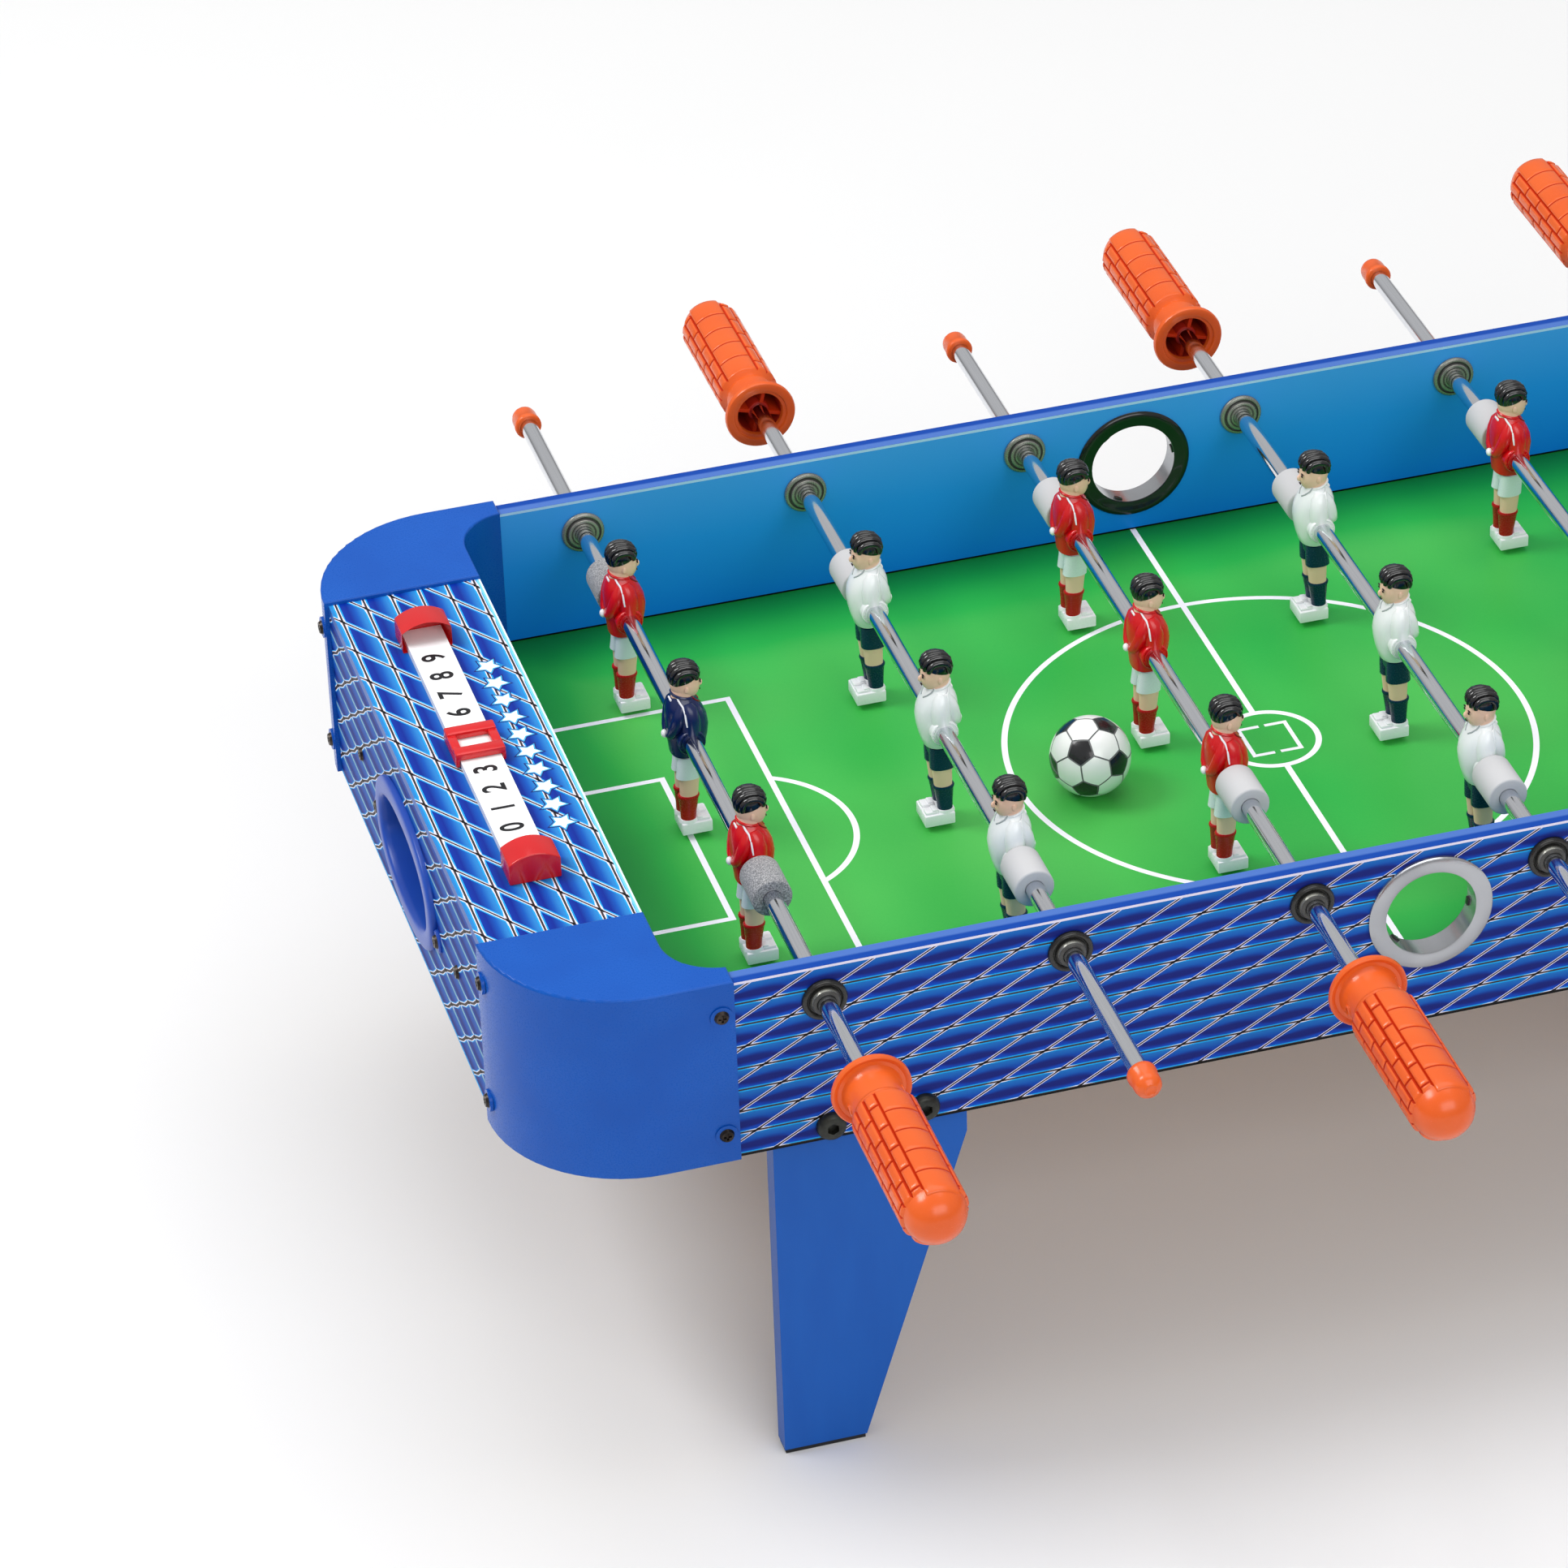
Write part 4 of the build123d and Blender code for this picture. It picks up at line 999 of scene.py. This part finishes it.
def handle():
    """Hollow handle, flange at the local origin, its length along local +Z."""
    whole = bmesh.new()
    put(whole, grip_skin(), None, 0)
    shell = (
        (9.2, 33.0), (9.2, 2.6), (9.6, 1.4), (10.8, 1.2), (11.2, 0.2), (11.6, 0.0),
        (handle_flange_r - 1.3, 0.0),
        (handle_flange_r - 0.4, 0.4), (handle_flange_r, 1.2), (handle_flange_r - 0.1, 2.4),
        (handle_flange_r - 0.7, 3.0), (handle_flange_r - 1.4, 2.8), (handle_flange_r - 2.2, 2.3), (11.2, 2.6),
        (10.6, 3.6), (neck_r - 0.1, 5.6), (neck_r - 0.3, 10.0),
        (neck_r, 14.0), (neck_r + 0.05, grip_from - 3.0),
    )
    put(whole, turned(shell, 48), None, 0)
    lining = ((9.25, 32.6), (9.25, 3.0), (9.15, 3.0), (9.15, 32.4), (0.0, 32.4))
    hub = ((bore_r, 33), (bore_r, 4.0), (4.2, 4.0), (4.5, 4.4), (4.5, 33))
    # The lining, the hub and the collar caps take the darker cavity orange, painted shade inside the hollow.
    put(whole, turned(lining, 40), None, 2)
    put(whole, turned(hub, 32), None, 2)
    # The fins inside the hollow take the darker groove orange, painted shade.
    for n in range(4):
        fin = block((5.2, 1.6, 29.0), (6.75, 0, 17.8), 0.2)
        put(whole, fin, Matrix.Rotation(n * math.pi / 2 + 0.5, 4, "Z"), 1)
    for turn in (25, 205):
        collar = turned(((1.25, 0.0), (2.3, 0.0), (2.3, 0.5), (1.9, 0.8), (1.25, 0.8)), 20, True)
        seat = Matrix.Rotation(math.radians(turn), 4, "Z") @ end_on(neck_r - 0.55, 0, 8.2, 1)
        put(whole, collar, seat, 0)
        put(whole, turned(((0, 0.35), (1.3, 0.35), (1.3, 0.0), (0, 0)), 16), seat, 2)
    return whole


def groove_faces(whole):
    """Faces down in the grip's grooves take the darker groove orange, painted shade in the grooves."""
    for face in whole.faces:
        middle = face.calc_center_median()
        radius = math.hypot(middle.x, middle.y)
        in_grip = grip_from + 0.6 < middle.z < handle_length - dome_length - 0.5
        if face.material_index == 0 and in_grip and radius < grip_r - 0.25:
            face.material_index = 1
    return whole


cap_low, cap_high = corners("rod_1_cap")
cap_r, cap_length = (cap_high.z - cap_low.z) / 2, cap_high.y - cap_low.y
cap_profile = (
    (tube_r + 0.02, 9.0), (tube_r + 0.02, 0.2), (tube_r + 0.3, 0.0), (cap_r - 0.5, 0.0), (cap_r, 0.5),
    (cap_r, 2.2), (cap_r - 0.35, 2.7), (cap_r - 0.35, 7.2), (cap_r - 0.7, 8.8), (cap_r - 1.6, 10.0),
    (2.9, 10.5), (2.6, 10.9), (2.0, cap_length), (1.7, 10.7), (0.0, 10.6),
)
bumper_low, bumper_high = corners("rod_1_bumpers")
bumper_r = (bumper_high.z - bumper_low.z) / 2
bumper_length = 18.0
bumper_profile = (
    (bore_r, 0.3), (bore_r + 0.3, 0.0), (bumper_r - 0.7, 0.0), (bumper_r - 0.2, 0.2), (bumper_r, 0.7),
    (bumper_r, bumper_length - 0.7), (bumper_r - 0.2, bumper_length - 0.2), (bumper_r - 0.7, bumper_length),
    (bore_r + 0.3, bumper_length), (bore_r, bumper_length - 0.3),
)


# ---- The men ----
body_fullness = 2.6
man_pitch = 90.0
chest = (
    (-8.8, -0.2, 5.6, 6.2), (-8.3, -0.2, 6.2, 6.7), (-4.0, 0.2, 7.1, 6.9), (0.0, 0.4, 7.8, 7.1),
    (4.0, 0.5, 8.1, 7.2), (8.0, 0.2, 7.8, 7.2), (11.0, -0.3, 7.0, 7.0), (13.2, -0.6, 6.0, 6.4),
    (14.9, -0.7, 5.0, 5.4), (16.3, -0.6, 4.2, 4.5), (17.2, -0.5, 3.7, 3.9),
)
CLOTH, LOWER, FLESH, HAIR, SOCKS, SHOES, TRIM, MARKS, FOLD_SHADE = range(9)


def on_chest(height, turn, clear):
    """A point on the shirt at a height, turned so many degrees from straight ahead."""
    for low, high in zip(chest, chest[1:]):
        if low[0] <= height <= high[0]:
            share = (height - low[0]) / (high[0] - low[0])
            middle, deep, wide = [low[n] + share * (high[n] - low[n]) for n in (1, 2, 3)]
            x, y = math.cos(math.radians(turn)), math.sin(math.radians(turn))
            out = swell(x, y, body_fullness)
            return (middle + x * out * (deep + clear), y * out * (wide + clear), height)


def head_of_hair():
    """A combed cap of hair: a cut oval under locks that run from the forehead to the back."""
    whole = bmesh.new()
    cap = oval((5.9, 5.2, 6.3), (0, 0, 0), 3)
    cut = bmesh.ops.bisect_plane(cap, geom=cap.verts[:] + cap.edges[:] + cap.faces[:],
                                 plane_co=(0, 0, -0.5), plane_no=(-0.3, 0, 1), clear_inner=True)["geom_cut"]
    bmesh.ops.edgeloop_fill(cap, edges=[e for e in cut if isinstance(e, bmesh.types.BMEdge)])
    put(whole, outward(cap))
    for y in (-4.4, -2.3, -0.1, 2.1, 4.3):
        reach = math.sqrt(1 - (y / 6.6) ** 2)
        lock = []
        for angle in (192, 172, 150, 128, 106, 84, 62, 42, 22, 6):
            turn = math.radians(angle)
            out = reach * swell(math.cos(turn), math.sin(turn), body_fullness)
            radius = 1.25 if 10 < angle < 190 else 0.8
            lock.append((5.3 * out * math.cos(turn) + 0.1, y, 5.4 * out * math.sin(turn), radius))
        put(whole, limb(lock, 12))
    return whole


def man():
    """One man facing local +X, the rod along Y through the origin."""
    whole = bmesh.new()
    put(whole, lofted(chest, 28, body_fullness), None, CLOTH)
    boss = ((tube_r + 0.02, 0.0), (5.6, 0.0), (5.3, 8.0), (5.4, 8.6), (5.4, 9.4), (5.1, 9.8), (4.9, 9.8),
            (4.7, 9.3), (4.3, 9.3), (4.1, 9.8), (tube_r + 0.02, 9.8))
    for side in sides:
        put(whole, turned(boss, 32), lying(0, 0, 0, side), CLOTH)
        for n in range(20):
            tooth = Matrix.Rotation(n * math.pi / 10, 4, "Z")
            put(whole, block((0.6, 0.4, 0.5), (4.5, 0, 9.4), 0.1), lying(0, 0, 0, side) @ tooth, CLOTH)
        sleeve = ((-0.6, side * 4.6, 14.6, 2.4), (0.0, side * 5.6, 12.4, 3.6), (0.6, side * 6.3, 8.4, 3.9),
                  (0.5, side * 6.6, 4.4, 3.8), (0.1, side * 6.4, 0.6, 3.6), (0.0, side * 5.8, -2.6, 2.6))
        put(whole, limb(sleeve, 20), None, CLOTH)
        arm = ((-1.6, side * 4.4, 14.6, 1.8), (-3.2, side * 5.8, 11.4, 2.5), (-4.3, side * 5.8, 8.0, 2.6),
               (-5.3, side * 5.0, 4.6, 2.4), (-6.2, side * 3.6, 1.8, 2.1), (-6.8, side * 1.9, 0.4, 1.7))
        put(whole, limb(arm, 16), None, CLOTH)
        put(whole, lofted(((-18.7, -0.5, 4.5, 3.0), (-18.5, -0.5, 4.9, 3.3), (-14, -0.1, 4.7, 3.4),
                           (-9, 0.1, 4.5, 3.3)), 18, 2.3, side * 3.35), None, LOWER)
        put(whole, lofted(((-28, -0.7, 3.5, 2.7), (-24, -0.5, 3.7, 2.8), (-18, -0.2, 4.1, 3.0)),
                          18, 2.1, side * 3.3), None, FLESH)
        put(whole, lofted(((-38.3, -1.3, 2.9, 2.5), (-34, -1.1, 3.2, 2.6), (-28.2, -0.8, 3.9, 2.9),
                           (-27.7, -0.8, 4.2, 3.1), (-27.1, -0.8, 4.3, 3.15), (-26.6, -0.8, 4.1, 3.0),
                           (-26.5, -0.8, 3.8, 2.8)), 18, 2.1, side * 3.2), None, SOCKS)
        put(whole, lofted(((-38.9, -1.2, 3.9, 3.1), (-38.2, -1.2, 3.8, 3.0), (-37.4, -1.2, 3.4, 2.8),
                           (-37.3, -1.2, 3.0, 2.5)), 18, 2.1, side * 3.1), None, SHOES)
        put(whole, block((5.0, 4.6, 1.4), (4.4, side * 2.9, -38.3), 0.5), None, SHOES)
        put(whole, block((2.4, 3.8, 1.0), (3.0, side * 2.9, -37.5), 0.4), None, SHOES)
        piping = ((-3.4, side * 3.2, 16.9, 0.36), (-3.0, side * 5.0, 15.9, 0.4),
                  (-2.2, side * 6.6, 14.6, 0.4), (-1.9, side * 8.4, 12.4, 0.4),
                  (-1.8, side * 9.2, 9.4, 0.4), (-1.6, side * 9.5, 7.4, 0.3))
        put(whole, limb(piping, 8), None, TRIM)
        # The placket lines take the fold colour, painted shade along the shirt's opening.
        placket = [on_chest(height, side * turn, 0.05) + (0.32,) for height, turn in (
            (16.8, 52), (15.4, 40), (13.8, 24), (12.6, 10))]
        put(whole, limb(placket, 8), None, FOLD_SHADE)
        put(whole, oval((1.0, 0.5, 1.6), (0.0, side * 5.0, 20.9)), None, FLESH)
        put(whole, oval((0.3, 0.75, 0.45), (6.1, side * 2.0, 22.0)), None, MARKS)
        put(whole, oval((0.35, 1.0, 0.25), (6.0, side * 2.1, 23.0)), None, MARKS)
    put(whole, lofted(((-13, 0, 4.2, 5.6), (-10, 0, 4.7, 6.2), (-7.5, 0, 4.8, 6.3)), 20, 2.4), None, LOWER)
    put(whole, block((12.0, 12.5, 5.0), (1.5, 0, -41.1), 0.5), None, SHOES)
    put(whole, limb(((-1.0, 0, 13.5, 4.3), (-0.6, 0, 17.0, 4.3), (-0.2, 0, 20.0, 4.5)), 18), None, FLESH)
    collar = turned(((4.1, -0.7), (4.8, -0.4), (5.0, 0.1), (4.7, 0.6), (4.1, 0.6)), 24, True)
    put(whole, collar, Matrix.Translation((-0.6, 0, 16.9)) @ Matrix.Rotation(math.radians(14), 4, "Y"), CLOTH)
    put(whole, block((0.7, 3.4, 0.9), (-5.5, 0, 15.3), 0.25), None, TRIM)
    put(whole, oval((1.3, 1.7, 1.7), (-8.3, 0, 0.3)), None, SHOES)
    head = oval((5.9, 5.1, 7.7), (0, 0, 0), 3)
    for v in head.verts:
        jaw = max(0.0, -v.co.z / 7.7)
        v.co.y *= 1 - 0.16 * jaw ** 1.5
        v.co.x += 0.8 * jaw
    put(whole, head, Matrix.Translation((0.4, 0, 22.0)), FLESH)
    put(whole, oval((1.1, 0.75, 1.5), (6.3, 0, 20.4)), None, FLESH)
    put(whole, oval((0.3, 1.3, 0.25), (6.1, 0, 17.9)), None, MARKS)
    put(whole, head_of_hair(), Matrix.Translation((0.1, 0, 24.2)), HAIR)
    return whole


kits = {
    "red": [shirt_red, shorts_white, skin, hair, socks_red, shoe_white, print_white, features,
            shirt_fold_shade],
    "white": [shirt_white, shorts_teal, skin, hair, shorts_teal, shoe_white, shirt_white, features,
              white_fold_shade],
}
NAVY = len(kits["red"])
# Rod 1's bumpers take the grained foam, the other rods' the frame's own plain finish.
grained_foam, plain_foam = foam(), bpy.data.materials["bumper_foam"]
handle_turn = Matrix.Rotation(math.radians(-14), 4, "Z")
pattern_man, pattern_handle = man(), groove_faces(handle())
for rod, x, side in zip(rods, rod_x, handle_side):
    low, high = corners(rod + "_handle")
    seat = lying(x, high.y if side < 0 else low.y, rod_z, side)
    piece = put(bmesh.new(), pattern_handle, seat @ handle_turn, keep=True)
    finished(rod + "_handle_ribbed", piece, [orange, orange_recess_shade, orange_cavity_shade], rod, "orange_plastic",
             rod + "_handle", smooth=38)

    low, high = corners(rod + "_cap")
    seat = lying(x, low.y if side < 0 else high.y, rod_z, -side)
    piece = put(bmesh.new(), turned(cap_profile, 32), seat, 0)
    finished(rod + "_cap_domed", piece, [orange], rod, "orange_plastic", rod + "_cap", smooth=50)

    low, high = corners(rod + "_bumpers")
    piece = bmesh.new()
    for y in (low.y, high.y - bumper_length):
        put(piece, turned(bumper_profile, 40, True), lying(x, y, rod_z, 1), 0)
    finished(rod + "_bumpers_foam", piece, [grained_foam if rod == rods[0] else plain_foam],
             rod + "_slider", "bumper_foam", rod + "_bumpers", smooth=50)

    low, high = corners(rod + "_players")
    team = "red" if side < 0 else "white"
    piece = bmesh.new()
    facing = Matrix.Rotation(0 if side < 0 else math.pi, 4, "Z")
    for n in (-1, 0, 1):
        figure = pattern_man.copy()
        if n == 0 and rod in (rods[0], rods[-1]):
            for face in figure.faces:
                if face.material_index == CLOTH:
                    face.material_index = NAVY
        put(piece, figure, Matrix.Translation((x, (low.y + high.y) / 2 + n * man_pitch, rod_z)) @ facing)
    finished(rod + "_men", piece, kits[team] + [shirt_navy], rod, team + "_team", rod + "_players", smooth=42)
pattern_man.free()
pattern_handle.free()
